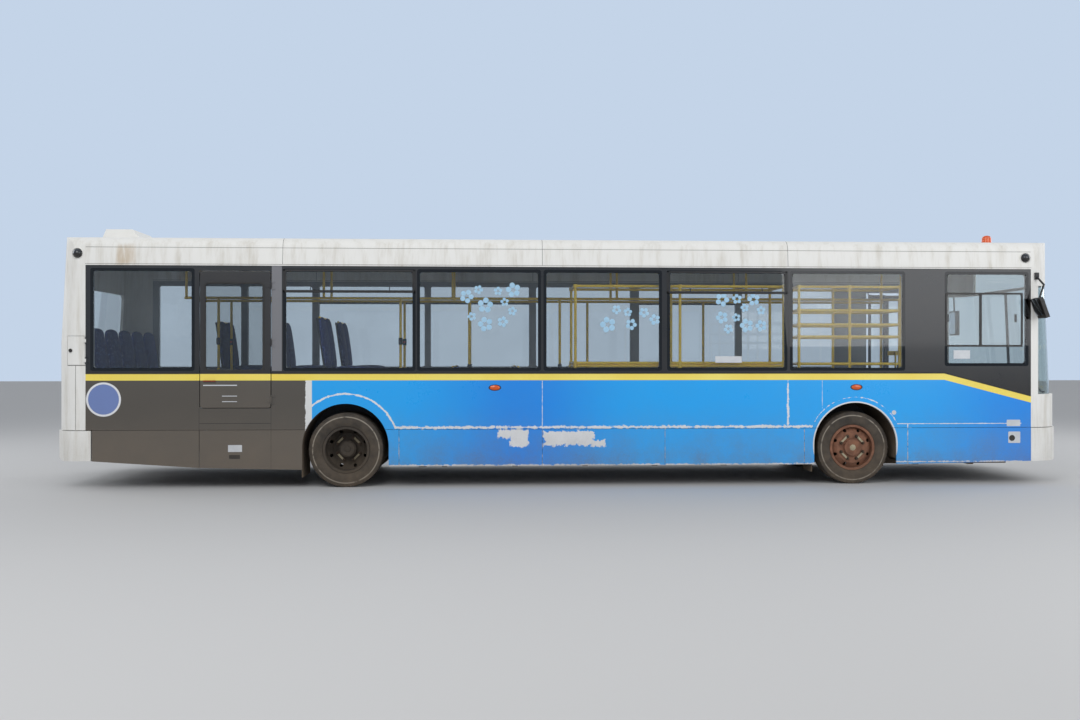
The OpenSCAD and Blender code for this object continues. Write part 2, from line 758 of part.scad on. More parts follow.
// Door mirrors on arms
foot_x = [front_seam + 46, front_seam + 92];
foot_z = [wall_top - 120, wall_top - 40];
module mirrors() {
  x = foot_x[0] + 22;
  z = foot_z[0] + 30;
  color([0.08, 0.08, 0.09]) {
    // Driver's side: short arm and a small slanted head
    union() {
      bx(foot_x, [-half - 12, -half + 8.4], foot_z);
      rod([x, -half - 6, z], [x + 18, -half - 130, z - 100], 11);
      rod([x + 18, -half - 130, z - 90], [x - 38, -half - 130, z - 260], 11);
      translate([x - 22, -half - 130, z - 365]) rotate([0, -20, 0])
        bx([-22, 22], [-95, 95], [-120, 120]);
    }
    // Entrance side: long arm ahead of the pillar
    union() {
      bx(foot_x, [half - 8.4, half + 12], foot_z);
      rod([x, half + 6, z], [x + 182, half + 140, z - 70], 11);
      rod([x + 182, half + 140, z - 60], [x + 182, half + 120, z - 340], 11);
      translate([x + 182, half + 120, z - 450]) bx([-25, 25], [-105, 105], [-170, 170]);
    }
  }
}

// Wiper arms and blades at rest on the glass
module wipers() {
  color([0.06, 0.06, 0.06]) for (y = [-760, 60]) {
    translate([screen_x + 24, y, nose_top]) cylinder(r = 20, h = 22);
    translate([screen_x, y, nose_top + 10]) rotate([0, -screen_lean, 0]) {
      rotate([-68, 0, 0]) bx([6, 16], [-9, 9], [0, 640]);
      bx([1, 14], [230, 730], [228, 244]);
    }
  }
}

// Arch liners and mud flaps
flap_t = 8;
// Radius of a front liner, which the steered tyre sweeps
sweep_r = 500;
flap_low = 113;
module liner(x, y, r) {
  difference() {
    union() {
      along_y([y, inner_y]) translate([x, arch_z]) circle(r + flap_t, $fn = 96);
      bx([x - r - flap_t, x + r + flap_t], [y, inner_y], [300, arch_z]);
    }
    along_y([y - 1, inner_y + 1]) translate([x, arch_z]) circle(r, $fn = 96);
    bx([x - r, x + r], [y - 1, inner_y + 1], [0, arch_z]);
    bx([x - 600, x + 600], [y - 1, inner_y + 1], [-200, 300]);
  }
}
module arch_liners() {
  color([0.13, 0.12, 0.11]) both() {
    liner(front_axle_x, box_front_y + box_t, sweep_r);
    liner(rear_axle_x, box_rear_y + box_t, arch_r);
    // Mud flaps
    bx([rear_axle_x - arch_r - flap_t, rear_axle_x - arch_r], [box_rear_y + 60, half - 25],
       [flap_low, 300 - seat_gap]);
    bx([front_axle_x - sweep_r - flap_t, front_axle_x - sweep_r], [box_front_y + 380, half - 25],
       [150, 300 - seat_gap]);
  }
}

// Engine, gearbox and radiator as plain blocks, hung from the rails
engine_x = [rear_axle_x - 2785, rear_axle_x - 1845];
gearbox_front = rear_axle_x - 1125;
engine_z = [330, member_z[0] - 2];
module engine_block() {
  side = rail_y[0] - 30;
  color([0.25, 0.26, 0.26]) {
    union() {
      bx(engine_x, [-side, side], engine_z);
      bx([engine_x[1], gearbox_front], [-side + 110, side - 110], [engine_z[0], 700]);
      both() for (x = [engine_x[0] + 60, engine_x[1] - 180])
        bx([x, x + 80], [side, rail_y[0] - seat_gap], [high_rail_z[0], engine_z[1]]);
    }
    // Radiator on the entrance side, under the outriggers
    bx([engine_x[0] + 20, engine_x[0] + 660], [half - 600, half - 460],
       [engine_z[0], member_z[0] - seat_gap]);
  }
}

// Fuel tank on the driver's side and two air tanks
tank_x = [rear_axle_x - 1555, rear_axle_x - 735];
module tanks() {
  color([0.18, 0.18, 0.19]) {
    along_x(tank_x) rrect([-(half - 140), -(rail_y[1] + 50)], [400, high_rail_z[1] - seat_gap], 60);
    for (y = [half - 620, half - 360]) union() {
      translate([tank_x[0] + 10, y, 730]) rotate([0, 90, 0]) cylinder(r = 110, h = 790);
      bx([tank_x[0] + 230, tank_x[0] + 280], [y - 20, y + 20], [830, high_rail_z[1] - seat_gap]);
    }
  }
}

// Front axle: dropped beam with kingpin bosses, bellows and radius rods
boss_z = [360, 480];
kingpin_r = 22;
module front_axle() {
  beam_x = [front_axle_x - 40, front_axle_x + 40];
  up_y = kingpin_y - 70;
  rod_y = rail_y[0] - 60;
  color([0.20, 0.20, 0.20]) union() {
    bx(beam_x, [-up_y, up_y], [180, 250]);
    both() {
      bx(beam_x, [up_y - 50, up_y], [180, 450]);
      difference() {
        union() {
          bx(beam_x, [up_y - 50, kingpin_y], [390, 450]);
          translate([front_axle_x, kingpin_y, boss_z[0]]) cylinder(r = 44, h = boss_z[1] - boss_z[0]);
        }
        translate([front_axle_x, kingpin_y, boss_z[0] - 1])
          cylinder(r = kingpin_r + run_gap, h = boss_z[1] - boss_z[0] + 2);
      }
      // Air bellows and their top brackets
      translate([front_axle_x, box_front_y + 85, 250]) cylinder(r = 58, h = 370);
      bx([front_axle_x - 50, front_axle_x + 50], [box_front_y + box_t, box_front_y + 140], [620, 650]);
      // Radius rod back to the rail
      bx([front_axle_x - 750, beam_x[0]], [rod_y, rod_y + 50], [180, 202]);
      bx([front_axle_x - 750, front_axle_x - 690], [rod_y, rail_y[0] - seat_gap], [180, 290]);
    }
  }
}

// Steering knuckles with stub axles and steering arms
rod_z = 225;
stub_r = 40;
module knuckle() {
  union() {
    translate([front_axle_x, kingpin_y, 325]) cylinder(r = kingpin_r, h = 190);
    for (z = [[325, 357], [483, 515]])
      bx([front_axle_x - 42, front_axle_x + 42], [kingpin_y - 42, kingpin_y + 75], z);
    bx([front_axle_x - 42, front_axle_x + 42], [kingpin_y + 50, kingpin_y + 75], [325, 515]);
    translate([front_axle_x, kingpin_y + 75, axle_z]) rotate([-90, 0, 0])
      cylinder(r = stub_r, h = kingpin_offset - 38);
    // Steering arm, dropped below the axle
    bx([front_axle_x - 90, front_axle_x - 42], [kingpin_y - 20, kingpin_y + 20], [325, 357]);
    bx([front_axle_x - 90, front_axle_x - 66], [kingpin_y - 20, kingpin_y + 20], [250, 357]);
    difference() {
      union() {
        bx([front_axle_x - steer_arm, front_axle_x - 66], [kingpin_y - 18, kingpin_y + 18], [250, 272]);
        translate([front_axle_x - steer_arm, kingpin_y, 250]) cylinder(r = 24, h = 22);
      }
      translate([front_axle_x - steer_arm, kingpin_y, 240]) cylinder(r = 10 + run_gap, h = 40);
    }
  }
}
module knuckle_left() {
  color([0.22, 0.21, 0.20]) knuckle();
}
module knuckle_right() {
  color([0.22, 0.21, 0.20]) mirror([0, 1, 0]) knuckle();
}
module track_rod() {
  color([0.25, 0.25, 0.25]) union() {
    rod([front_axle_x - steer_arm, -kingpin_y, rod_z], [front_axle_x - steer_arm, kingpin_y, rod_z], 15);
    for (s = [-1, 1]) {
      translate([front_axle_x - steer_arm, s * kingpin_y, rod_z - 18]) cylinder(r = 22, h = 36);
      translate([front_axle_x - steer_arm, s * kingpin_y, rod_z]) cylinder(r = s > 0 ? 10 : 8, h = 52);
    }
  }
}

// Rear axle: casing, differential, spring beams, bellows and the shaft to the gearbox
spindle_r = 45;
module rear_axle() {
  tube_y = box_rear_y - 40;
  beam_y = rail_y;
  color([0.20, 0.20, 0.20]) union() {
    translate([rear_axle_x, -tube_y, axle_z]) rotate([-90, 0, 0]) cylinder(r = 75, h = 2 * tube_y);
    both() {
      translate([rear_axle_x, tube_y, axle_z]) rotate([-90, 0, 0])
        cylinder(r = spindle_r, h = outer_track - tube_y - 62);
      bx([rear_axle_x - 330, rear_axle_x + 330], beam_y, [340, 400]);
      for (dx = [-260, 260])
        translate([rear_axle_x + dx, beam_y[0] + 35, 400])
          cylinder(r = 75, h = high_rail_z[0] - 400 - seat_gap);
    }
    translate([rear_axle_x, -60, axle_z]) sphere(r = 170);
    translate([rear_axle_x - 160, -60, axle_z]) rotate([0, -90, 0]) cylinder(r = 60, h = 120);
    rod([gearbox_front + 4, 0, axle_z + 20], [rear_axle_x - 200, -60, axle_z], 38);
  }
}

// Wheels
rim_r = 248;
bead_w = 93;
module tyre() {
  rotate([90, 0, 0]) rotate_extrude($fn = 96) union() {
    rrect([266, tyre_r], [-tyre_w / 2, tyre_w / 2], 42);
    translate([rim_r, -bead_w]) square([30, 2 * bead_w]);
  }
}
// A rim: barrel, two flanges and a disc at a distance outboard of its middle
hole_n = 8;
module rim(disc, root, hub_r, hub, bore) {
  difference() {
    rotate([-90, 0, 0]) rotate_extrude($fn = 96) {
      translate([236, -105]) square([rim_r - 236, 210]);
      for (y = [-105, 94]) translate([236, y]) square([27, 11]);
      translate([60, disc - 6]) square([118, 12]);
      polygon([[168, disc - 6], [178, disc - 6], [240, root - 8], [240, root + 8], [176, disc + 6],
               [168, disc + 6]]);
      translate([bore, hub[0]]) square([hub_r - bore, hub[1] - hub[0]]);
    }
    for (k = [0 : hole_n - 1]) rotate([0, (k + 0.5) * 360 / hole_n, 0])
      translate([0, min(disc, root) - 10, 207]) rotate([-90, 0, 0]) cylinder(r = 20, h = 110);
  }
}
module front_wheel_place(s) {
  translate([front_axle_x, 0, axle_z]) mirror([0, s < 0 ? 1 : 0, 0])
    translate([0, front_track, 0]) children();
}
module front_rim() {
  rim(84, 40, 95, [-48, 118], stub_r + run_gap);
  translate([0, 100, 0]) rotate([-90, 0, 0]) cylinder(r = 60, h = 22);
}
module rear_wheel_place(s) {
  translate([rear_axle_x, 0, axle_z]) mirror([0, s < 0 ? 1 : 0, 0]) children();
}
// Both rims of a pair bolt to one hub face between them
rim_root = -70;
module rear_rim_pair() {
  mid = (outer_track + inner_track) / 2;
  disc = 6 - dual_spacing / 2;
  hub = [disc - 12, disc + 84];
  union() {
    translate([0, outer_track, 0]) rim(disc, rim_root, 95, hub, spindle_r + run_gap);
    translate([0, inner_track, 0]) mirror([0, 1, 0]) rim(disc, rim_root, 95, hub, spindle_r + run_gap);
    translate([0, mid + 84, 0]) rotate([-90, 0, 0]) cylinder(r = 80, h = 20);
  }
}
module front_tyre_left() {
  color([0.07, 0.07, 0.07]) front_wheel_place(1) tyre();
}
module front_tyre_right() {
  color([0.07, 0.07, 0.07]) front_wheel_place(-1) tyre();
}
module front_rim_left() {
  color([0.45, 0.30, 0.22]) front_wheel_place(1) front_rim();
}
module front_rim_right() {
  color([0.45, 0.30, 0.22]) front_wheel_place(-1) front_rim();
}
module rear_tyre_pair() {
  for (y = [outer_track, inner_track]) translate([0, y, 0]) tyre();
}
module rear_tyres_left() {
  color([0.07, 0.07, 0.07]) rear_wheel_place(1) rear_tyre_pair();
}
module rear_tyres_right() {
  color([0.07, 0.07, 0.07]) rear_wheel_place(-1) rear_tyre_pair();
}
module rear_rims_left() {
  color([0.15, 0.14, 0.13]) rear_wheel_place(1) rear_rim_pair();
}
module rear_rims_right() {
  color([0.15, 0.14, 0.13]) rear_wheel_place(-1) rear_rim_pair();
}

// Dashboard, instrument housing, steering column and the shelf on the entrance side
dash_front = front_seam + 236;
dash_back = front_seam + 76;
dash_low = 420;
dash_top = 1010;
dash_mid = 700;
module dashboard() {
  x = steer_hub[0];
  y = steer_hub[1];
  color([0.12, 0.12, 0.13]) union() {
    // Inboard of the corner pillar the housing runs to the nose, beside it only to its back
    along_y([-(half - 220), -aisle_y - 30]) polygon([[x + 110, 900], [x + 190, 1035],
      [dash_front, dash_top], [dash_front, dash_mid], [x + 200, 640]]);
    along_y([-inner_y + 5, -(half - 221)]) polygon([[x + 110, 900], [x + 190, 1035],
      [low_floor_x[1], dash_top], [low_floor_x[1], dash_mid], [x + 200, 640]]);
    // Instruments
    along_y([y - 220, y + 220]) polygon([[x + 140, 930], [x + 180, 1120], [x + 290, 1130], [x + 360, 1000]]);
    // Shelf and its front panel
    along_y([-aisle_y - 30, 540]) polygon([[dash_back, dash_top], [dash_front, dash_top],
      [dash_front, dash_mid], [dash_back, dash_mid]]);
    bx([dash_back, dash_front], [-aisle_y - 30, 540], [dash_low, dash_mid]);
    bx([x + 290, dash_front], [-(half - 220), -aisle_y - 30], [cab_floor, dash_mid]);
    bx([x + 290, dash_back], [-inner_y + 5, -(half - 221)], [cab_floor, dash_mid]);
    difference() {
      on_column(-500) cylinder(r = 32, h = 500 - hub_low - 0.5);
      on_column(-hub_low - 60) cylinder(r = stub_shaft_r + run_gap, h = 70);
    }
  }
}
// Along the steering wheel's axis, from a place below its hub
stub_shaft_r = 12;
hub_low = 40;
module on_column(d) {
  translate(steer_hub) rotate([0, -wheel_tilt, 0]) translate([0, 0, d]) children();
}

// Steering wheel: ring, three spokes, hub; it turns about the tilted column
module steering_wheel() {
  color([0.08, 0.08, 0.08]) on_column(0) union() {
    rotate_extrude($fn = 96) translate([215, 0]) circle(15, $fn = 24);
    for (a = [90, 210, 330]) rotate([0, 0, a]) translate([20, -14, -10]) cube([190, 28, 14]);
    translate([0, 0, -hub_low]) cylinder(r = 45, h = hub_low + 10);
    translate([0, 0, -hub_low - 50]) cylinder(r = stub_shaft_r, h = 60);
  }
}

// Seats: driver's seat and pairs of passenger seats on pedestals
seat_w = 820;
seat_in = 10;
cushion_t = 90;
seat_pitch = 750;
first_row = rear_axle_x + 1325;
row_room = 540;
left_rows = floor((front_axle_x - box_half - row_room - first_row) / seat_pitch);
right_rows = floor((rack_start - 450 - first_row) / seat_pitch);
// Rows: place of the seat back, side, floor height, more height under the window-side feet
seat_rows = concat([[rear_axle_x - 1675, 1, high_floor, 0], [rear_axle_x - 925, 1, high_floor, 0],
                    [rear_axle_x - 175, 1, high_floor, box_top - high_floor],
                    [rear_axle_x - 175, -1, high_floor, box_top - high_floor]],
                   [for (k = [0 : left_rows]) [first_row + k * seat_pitch, 1, low_floor, 0]],
                   [for (k = [0 : right_rows]) [first_row + k * seat_pitch, -1, low_floor, 0]]);
module seat_pair(w, raise) {
  union() {
    translate([0, -w / 2, 380]) cube([430, w, cushion_t]);
    translate([0, 0, 400]) rotate([0, -8, 0]) bx([-70, 0], [-w / 2, w / 2], [0, 640]);
    bx([60, 380], [-w / 2 + 60, -w / 2 + 100], [0, 380]);
    bx([60, 380], [w / 2 - 100, w / 2 - 60], [raise, 380]);
    bx([-20, 60], [-w / 2 + 60, -w / 2 + 100], [340, 400]);
  }
}
module bench() {
  x = rear_seam + 135;
  union() {
    bx([x, x + 400], [-inner_y + seat_in, inner_y - seat_in], [hump_top, hump_top + cushion_t]);
    translate([x, 0, hump_top + 50]) rotate([0, -8, 0])
      bx([-70, 0], [-inner_y + seat_in, inner_y - seat_in], [0, 640]);
  }
}
module driver_seat() {
  translate([front_seam - 764, -driver_y, cab_floor]) union() {
    bx([60, 400], [-170, 170], [0, 300]);
    bx([0, 460], [-245, 245], [300, 400]);
    translate([0, 0, 380]) rotate([0, -10, 0]) bx([-90, 0], [-235, 235], [0, 720]);
  }
}
module seats() {
  color([0.20, 0.28, 0.55]) {
    for (q = seat_rows) mirror([0, q[1] < 0 ? 1 : 0, 0])
      translate([q[0], inner_y - seat_in - seat_w / 2, q[2]]) seat_pair(seat_w, q[3]);
    bench();
    driver_seat();
  }
}

// Cab partition behind the driver, and the post that carries the cab door
cab_top = wall_top - 290;
cab_y = [-aisle_y, -(aisle_y - 30)];
cab_door_end = front_seam - 324;
cab_door_z = [560, 1330];
knuckle_z = [620, 1200];
module cab_partition() {
  color([0.35, 0.36, 0.38]) {
    difference() {
      union() {
        bx([cab_wall_x, cab_wall_x + cab_wall_t], [-inner_y, -aisle_y], [cab_floor, cab_top]);
        bx([cab_wall_x, cab_wall_x + cab_wall_t], cab_y, [low_floor, cab_top]);
        for (z = knuckle_z) {
          bx([cab_wall_x + 20, cab_hinge[0]], cab_y, [z, z + 40]);
          translate([cab_hinge[0], cab_hinge[1], z]) cylinder(r = 14, h = 40);
        }
      }
      for (z = knuckle_z) translate([cab_hinge[0], cab_hinge[1], z - 1]) cylinder(r = 7 + run_gap, h = 42);
    }
    bx([cab_door_end + 8, dash_back - seat_gap], cab_y, [low_floor, dash_top]);
  }
}
module cab_door() {
  color([0.35, 0.36, 0.38]) union() {
    bx([cab_hinge[0] + 22, cab_door_end], [cab_y[0] + 3, cab_y[1] - 3], cab_door_z);
    for (z = knuckle_z) {
      translate([cab_hinge[0], cab_hinge[1], z - 20]) cylinder(r = 14, h = 19);
      bx([cab_hinge[0], cab_hinge[0] + 30], [cab_hinge[1] - 7, cab_hinge[1] + 7], [z - 20, z - 1]);
      translate([cab_hinge[0], cab_hinge[1], z - 20]) cylinder(r = 7, h = 62);
    }
  }
}

// Handrails: two ceiling rails, hangers and floor poles
ceiling_rail_z = roof_crown - 685;
rail_r = rail_d / 2;
rail_half = inner_y - seat_in - seat_w - rail_r - 7;
rail_x = [rear_seam + 835, front_seam - 1164];
// The ceiling's height over the rails
hanger_h = roof_crown - shell_t - ceiling_rail_z - 6.6;
hangers = [behind(855), behind(2485), behind(4035), ahead(4724), ahead(3124), ahead(1184)];
// Poles: place, side, floor height
poles = [[rear_axle_x - 1625, 1, high_floor], [rear_axle_x - 1625, -1, high_floor],
         [platform_x[1] - 30, 1, high_floor], [platform_x[1] - 30, -1, high_floor],
         [first_row + 50, 1, low_floor], [first_row + 50, -1, low_floor],
         [front_axle_x - 2950, 1, low_floor], [front_axle_x - 1450, 1, low_floor],
         [rack_start - 120, -1, low_floor], [front_seam - 1204, -1, low_floor]];
module handrails() {
  color([0.92, 0.75, 0.12]) {
    for (s = [-1, 1])
      rod([rail_x[0], s * rail_half, ceiling_rail_z], [rail_x[1], s * rail_half, ceiling_rail_z], rail_r);
    // Hangers and poles end in saddles round the rails
    difference() {
      union() {
        for (x = hangers, s = [-1, 1])
          translate([x, s * rail_half, ceiling_rail_z]) cylinder(r = rail_r, h = hanger_h);
        for (q = poles)
          translate([q[0], q[1] * rail_half, q[2]]) cylinder(r = rail_r, h = ceiling_rail_z - q[2]);
      }
      for (s = [-1, 1]) rod([rail_x[0] - 1, s * rail_half, ceiling_rail_z],
                            [rail_x[1] + 1, s * rail_half, ceiling_rail_z], rail_r + seat_gap);
    }
  }
}

// Luggage racks: tube frames on the driver's side, each tube held in clamp sleeves on the posts
rack_top = wall_top - 210;
clamp_r = 24;
clamp_h = 40;
// Racks: rear post, front post, shelf heights
racks = [[rack_start, front_axle_x - 820, [640, 1366, 1400]],
         [front_axle_x - 640, front_axle_x + 550, [1390, 1704, 1844, 2008]]];
rack_y = [-(half - 70), -(half - 660)];
// Posts over the wheel box stand on it
function post_foot(x) = abs(x - front_axle_x) < box_half + rail_r ? box_top : low_floor;
module luggage_racks() {
  color([0.93, 0.78, 0.15]) for (q = racks) {
    ends = [q[0], q[1]];
    posts = [q[0], (q[0] + q[1]) / 2, q[1]];
    levels = concat(q[2], [rack_top]);
    for (x = posts, y = rack_y) union() {
      translate([x, y, post_foot(x)]) cylinder(r = rail_r, h = rack_top - post_foot(x));
      for (z = levels) translate([x, y, z - clamp_h / 2]) cylinder(r = clamp_r, h = clamp_h);
    }
    difference() {
      union() for (z = levels) {
        for (y = rack_y) rod([q[0], y, z], [q[1], y, z], rail_r);
        for (x = ends) rod([x, rack_y[0], z], [x, rack_y[1], z], rail_r);
      }
      for (x = posts, y = rack_y)
        translate([x, y, low_floor]) cylinder(r = clamp_r + seat_gap, h = rack_top + 40 - low_floor);
    }
  }
}

// A hinge barrel with a bore, on a plate behind the pin
module hinge_leaf(at, z, len, r, pin, reach) {
  difference() {
    union() {
      translate([at[0], at[1], z]) cylinder(r = r, h = len);
      bx([at[0] - reach, at[0]], [at[1], -half - seat_gap], [z, z + len]);
      bx([at[0] - reach, at[0] - reach / 2], [at[1], -half + 1], [z, z + len]);
    }
    translate([at[0], at[1], z - 1]) cylinder(r = pin + run_gap, h = len + 2);
  }
}

// Emergency door: panel with its window, pane and hinge barrels
edoor_glass = [[edoor[0] + 51, edoor[1] - 76], [1314, wall_top - 190]];
edoor_hinges = [960, (710 + wall_top) / 2, wall_top - 250];
module emergency_door() {
  color([0.25, 0.26, 0.27]) union() {
    difference() {
      at_side(-1, 0, edoor_t) rrect(edoor, edoor_z, 24);
      at_side(-1, -1, edoor_t + 1) rrect(edoor_glass[0], edoor_glass[1], 40);
    }
    at_side(-1, 10, 10 + glass_t) rrect(edoor_glass[0], edoor_glass[1], 40);
    for (z = edoor_hinges) hinge_leaf(edoor_hinge, z, 60, 8, 5, 60);
  }
}

// Entrance door: two pairs of panels that fold inwards. The first panel of a pair turns on its post
// at the corner of the doorway, and the second is hinged to the first and folds back against it.
leaf_z = [low_floor + 20, doorway_top - 28];
post_pin_z = [low_floor - sill_t + 3, doorway_top + 35];
plate_t = 6;
// The hinge axes lie this far outside the panels, and this far from their edges
face_gap = 3;
edge_gap = 3;
// Less of the second panel at its free edge, so that both pairs clear each other in the middle
meeting_gap = 4;
knuckle_r = 6;
knuckle_h = 25;
fold_pin_r = 3;
fold_z = [low_floor + 120, (low_floor + doorway_top) / 2, doorway_top - 180];
// A glazed panel between two places along dir from a post at x
module door_panel(x, dir, u, z) {
  a = min(x + dir * u[0], x + dir * u[1]);
  b = max(x + dir * u[0], x + dir * u[1]);
  d = half - fold_y + face_gap;
  border = 36;
  difference() {
    at_side(1, d, d + leaf_t) rrect([a, b], z, 4);
    at_side(1, d - 1, d + leaf_t + 1) rrect([a + border, b - border], [z[0] + 130, z[1] - 60], 30);
  }
  at_side(1, d + leaf_t / 2 - 4, d + leaf_t / 2 + 4)
    rrect([a + border - 1, b - border + 1], [z[0] + 129, z[1] - 59], 30);
}
// The hinge knuckles with a number in ks, made thicker and longer by e
module knuckles(x, ks, e) {
  for (z = fold_z, k = ks)
    translate([x, fold_y, z + k * knuckle_h - e]) cylinder(r = knuckle_r + e, h = knuckle_h - 0.3 + 2 * e);
}
module post_panel(x, dir) {
  px = x + dir * panel_w;
  union() {
    difference() {
      door_panel(x, dir, [-6, panel_w - edge_gap], leaf_z);
      knuckles(px, [1], 0.6);
    }
    knuckles(px, [0, 2], 0);
    for (z = fold_z) translate([px, fold_y, z]) cylinder(r = fold_pin_r, h = 3 * knuckle_h - 0.3);
    // Carrier plates and pins of the post
    for (z = [leaf_z[0] - plate_t, leaf_z[1]])
      bx([min(x - dir * 6, x + dir * 40), max(x - dir * 6, x + dir * 40)],
         [fold_y - face_gap - leaf_t, fold_y + post_r], [z, z + plate_t]);
    for (z = [[post_pin_z[0], leaf_z[0] - 1], [leaf_z[1] + 1, post_pin_z[1]]])
      translate([x, fold_y, z[0]]) cylinder(r = post_r, h = z[1] - z[0]);
  }
}
module fold_panel(x, dir) {
  px = x + dir * panel_w;
  difference() {
    union() {
      difference() {
        door_panel(x, dir, [panel_w + edge_gap, 2 * panel_w - meeting_gap],
                   [leaf_z[0] + plate_t, leaf_z[1] - plate_t]);
        knuckles(px, [0, 2], 0.6);
      }
      knuckles(px, [1], 0);
    }
    for (z = fold_z) translate([px, fold_y, z - 1]) cylinder(r = fold_pin_r + run_gap, h = 3 * knuckle_h + 2);
  }
}
module door_panel_front() {
  color([0.2, 0.2, 0.22]) post_panel(front_post_x, -1);
}
module door_panel_rear() {
  color([0.2, 0.2, 0.22]) post_panel(rear_post_x, 1);
}
module door_leaf_front() {
  color([0.2, 0.2, 0.22]) fold_panel(front_post_x, -1);
}
module door_leaf_rear() {
  color([0.2, 0.2, 0.22]) fold_panel(rear_post_x, 1);
}

// Engine cover: hinged along its top edge, with louvres
cover_t = 24;
louvre_pitch = 50;
module engine_cover() {
  color([0.90, 0.90, 0.89]) union() {
    difference() {
      bx([rear_x, rear_x + cover_t], [-engine_cover_y, engine_cover_y], engine_cover_z);
      for (k = [0 : 7]) bx([rear_x - 1, rear_x + cover_t + 1], [-420, 420],
                           [780 + louvre_pitch * k, 804 + louvre_pitch * k]);
    }
    // Hinge barrels, each on a leg from a foot on the panel
    for (y = cover_barrels) difference() {
      union() {
        translate([cover_hinge[0], y, cover_hinge[1]]) rotate([-90, 0, 0]) cylinder(r = 8, h = barrel_len);
        bx([cover_hinge[0] - 4, cover_hinge[0] + 4], [y, y + barrel_len],
           [cover_hinge[1] - 42, cover_hinge[1]]);
        bx([cover_hinge[0] - 4, rear_x + 1], [y, y + barrel_len],
           [cover_hinge[1] - 56, cover_hinge[1] - 22]);
      }
      translate([cover_hinge[0], y - 1, cover_hinge[1]]) rotate([-90, 0, 0])
        cylinder(r = 4 + run_gap, h = barrel_len + 2);
    }
  }
}

// Corner flap: a piece of the rear corner, hinged at its forward edge
module corner_flap() {
  color([0.90, 0.90, 0.89]) union() {
    intersection() {
      translate([0, 0, flap_z[0]]) linear_extrude(flap_z[1] - flap_z[0]) difference() {
        rear_plan(rear_x, rear_r, half);
        rear_plan(rear_x + 16, rear_r - 16, half - 16, 1);
      }
      bx([flap_x, rear_seam - 8], [-half - 1, -half + 126], flap_z);
    }
    for (z = flap_hinges) hinge_leaf(flap_hinge, z, 40, 6, 3, 30);
  }
}

chassis_frame();
floor();
side_wall_right();
side_wall_left();
skirt_panels();
roof();
front_moulding();
front_bumper();
rear_moulding();
rear_bumper();
front_glass();
body_glass();
window_frames();
roof_fittings();
lamps();
mirrors();
wipers();
arch_liners();
engine_block();
tanks();
front_axle();
rear_axle();
dashboard();
seats();
cab_partition();
handrails();
luggage_racks();
steering_wheel();
knuckle_left();
knuckle_right();
track_rod();
front_tyre_left();
front_tyre_right();
front_rim_left();
front_rim_right();
rear_tyres_left();
rear_tyres_right();
rear_rims_left();
rear_rims_right();
emergency_door();
door_panel_front();
door_panel_rear();
door_leaf_front();
door_leaf_rear();
cab_door();
engine_cover();
corner_flap();
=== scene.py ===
import bpy
import math
import random
from mathutils import Matrix, Vector


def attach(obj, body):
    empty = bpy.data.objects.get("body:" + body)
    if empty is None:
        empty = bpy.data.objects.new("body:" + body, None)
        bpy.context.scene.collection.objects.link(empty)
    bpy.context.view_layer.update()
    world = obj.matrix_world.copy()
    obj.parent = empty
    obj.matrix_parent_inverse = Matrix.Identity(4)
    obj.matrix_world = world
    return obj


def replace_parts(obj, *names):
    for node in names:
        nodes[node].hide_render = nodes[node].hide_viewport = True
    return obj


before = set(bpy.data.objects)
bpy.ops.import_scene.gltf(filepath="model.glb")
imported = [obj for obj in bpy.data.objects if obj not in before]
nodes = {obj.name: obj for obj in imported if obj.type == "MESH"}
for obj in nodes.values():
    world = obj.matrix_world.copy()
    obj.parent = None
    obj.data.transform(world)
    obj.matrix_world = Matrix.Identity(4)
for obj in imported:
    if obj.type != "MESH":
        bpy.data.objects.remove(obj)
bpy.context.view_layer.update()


# The view: a camera square to the driver's side from 12 m away at standing height, turned slightly
# towards the front, over a plain pale floor with soft lamps on both sides and at both ends.
camera_place = (-1.017, -13.22, 1.435)
camera_yaw = 3.0
lens_mm = 35.33


def added(operator, **settings):
    """Runs an operator that adds an object with nothing else selected, and gives the object."""
    bpy.ops.object.select_all(action="DESELECT")
    operator(**settings)
    return bpy.context.object


camera = added(bpy.ops.object.camera_add, location=camera_place,
    rotation=(math.pi / 2, 0, -math.radians(camera_yaw)))
camera.data.lens = lens_mm
camera.data.sensor_width = 36
camera.data.clip_end = 200
scene = bpy.context.scene
scene.camera = camera
scene.view_settings.view_transform = "Standard"


def add_node(tree, kind, sockets=None, **settings):
    """A shader node with its settings, whose inputs are linked or given a value."""
    made = tree.nodes.new(kind)
    for name, value in settings.items():
        setattr(made, name, value)
    for name, value in (sockets or {}).items():
        if isinstance(value, bpy.types.NodeSocket):
            tree.links.new(value, made.inputs[name])
        else:
            made.inputs[name].default_value = value
    return made


def colour(red, green, blue):
    """A colour named by its 0 to 255 screen values, in linear light."""
    return tuple((c / 255 / 12.92 if c <= 10 else ((c / 255 + 0.055) / 1.055) ** 2.4)
        for c in (red, green, blue)) + (1.0,)


world = bpy.data.worlds.new("studio")
scene.world = world
world.use_nodes = True
sky = world.node_tree
sky.nodes.clear()
rays = add_node(sky, "ShaderNodeLightPath")
seen = add_node(sky, "ShaderNodeMath", {0: rays.outputs["Is Camera Ray"], 1: rays.outputs["Is Glossy Ray"]},
    operation="MAXIMUM")
seen = add_node(sky, "ShaderNodeMath", {0: seen.outputs[0], 1: rays.outputs["Is Transmission Ray"]},
    operation="MAXIMUM")
backdrop = add_node(sky, "ShaderNodeBackground", {"Color": colour(196, 212, 232), "Strength": 1.0})
ambient = add_node(sky, "ShaderNodeBackground", {"Color": (0.97, 0.98, 1, 1), "Strength": 0.50})
both_skies = add_node(sky, "ShaderNodeMixShader", {0: seen.outputs[0], 1: ambient.outputs[0],
    2: backdrop.outputs[0]})
add_node(sky, "ShaderNodeOutputWorld", {"Surface": both_skies.outputs[0]})

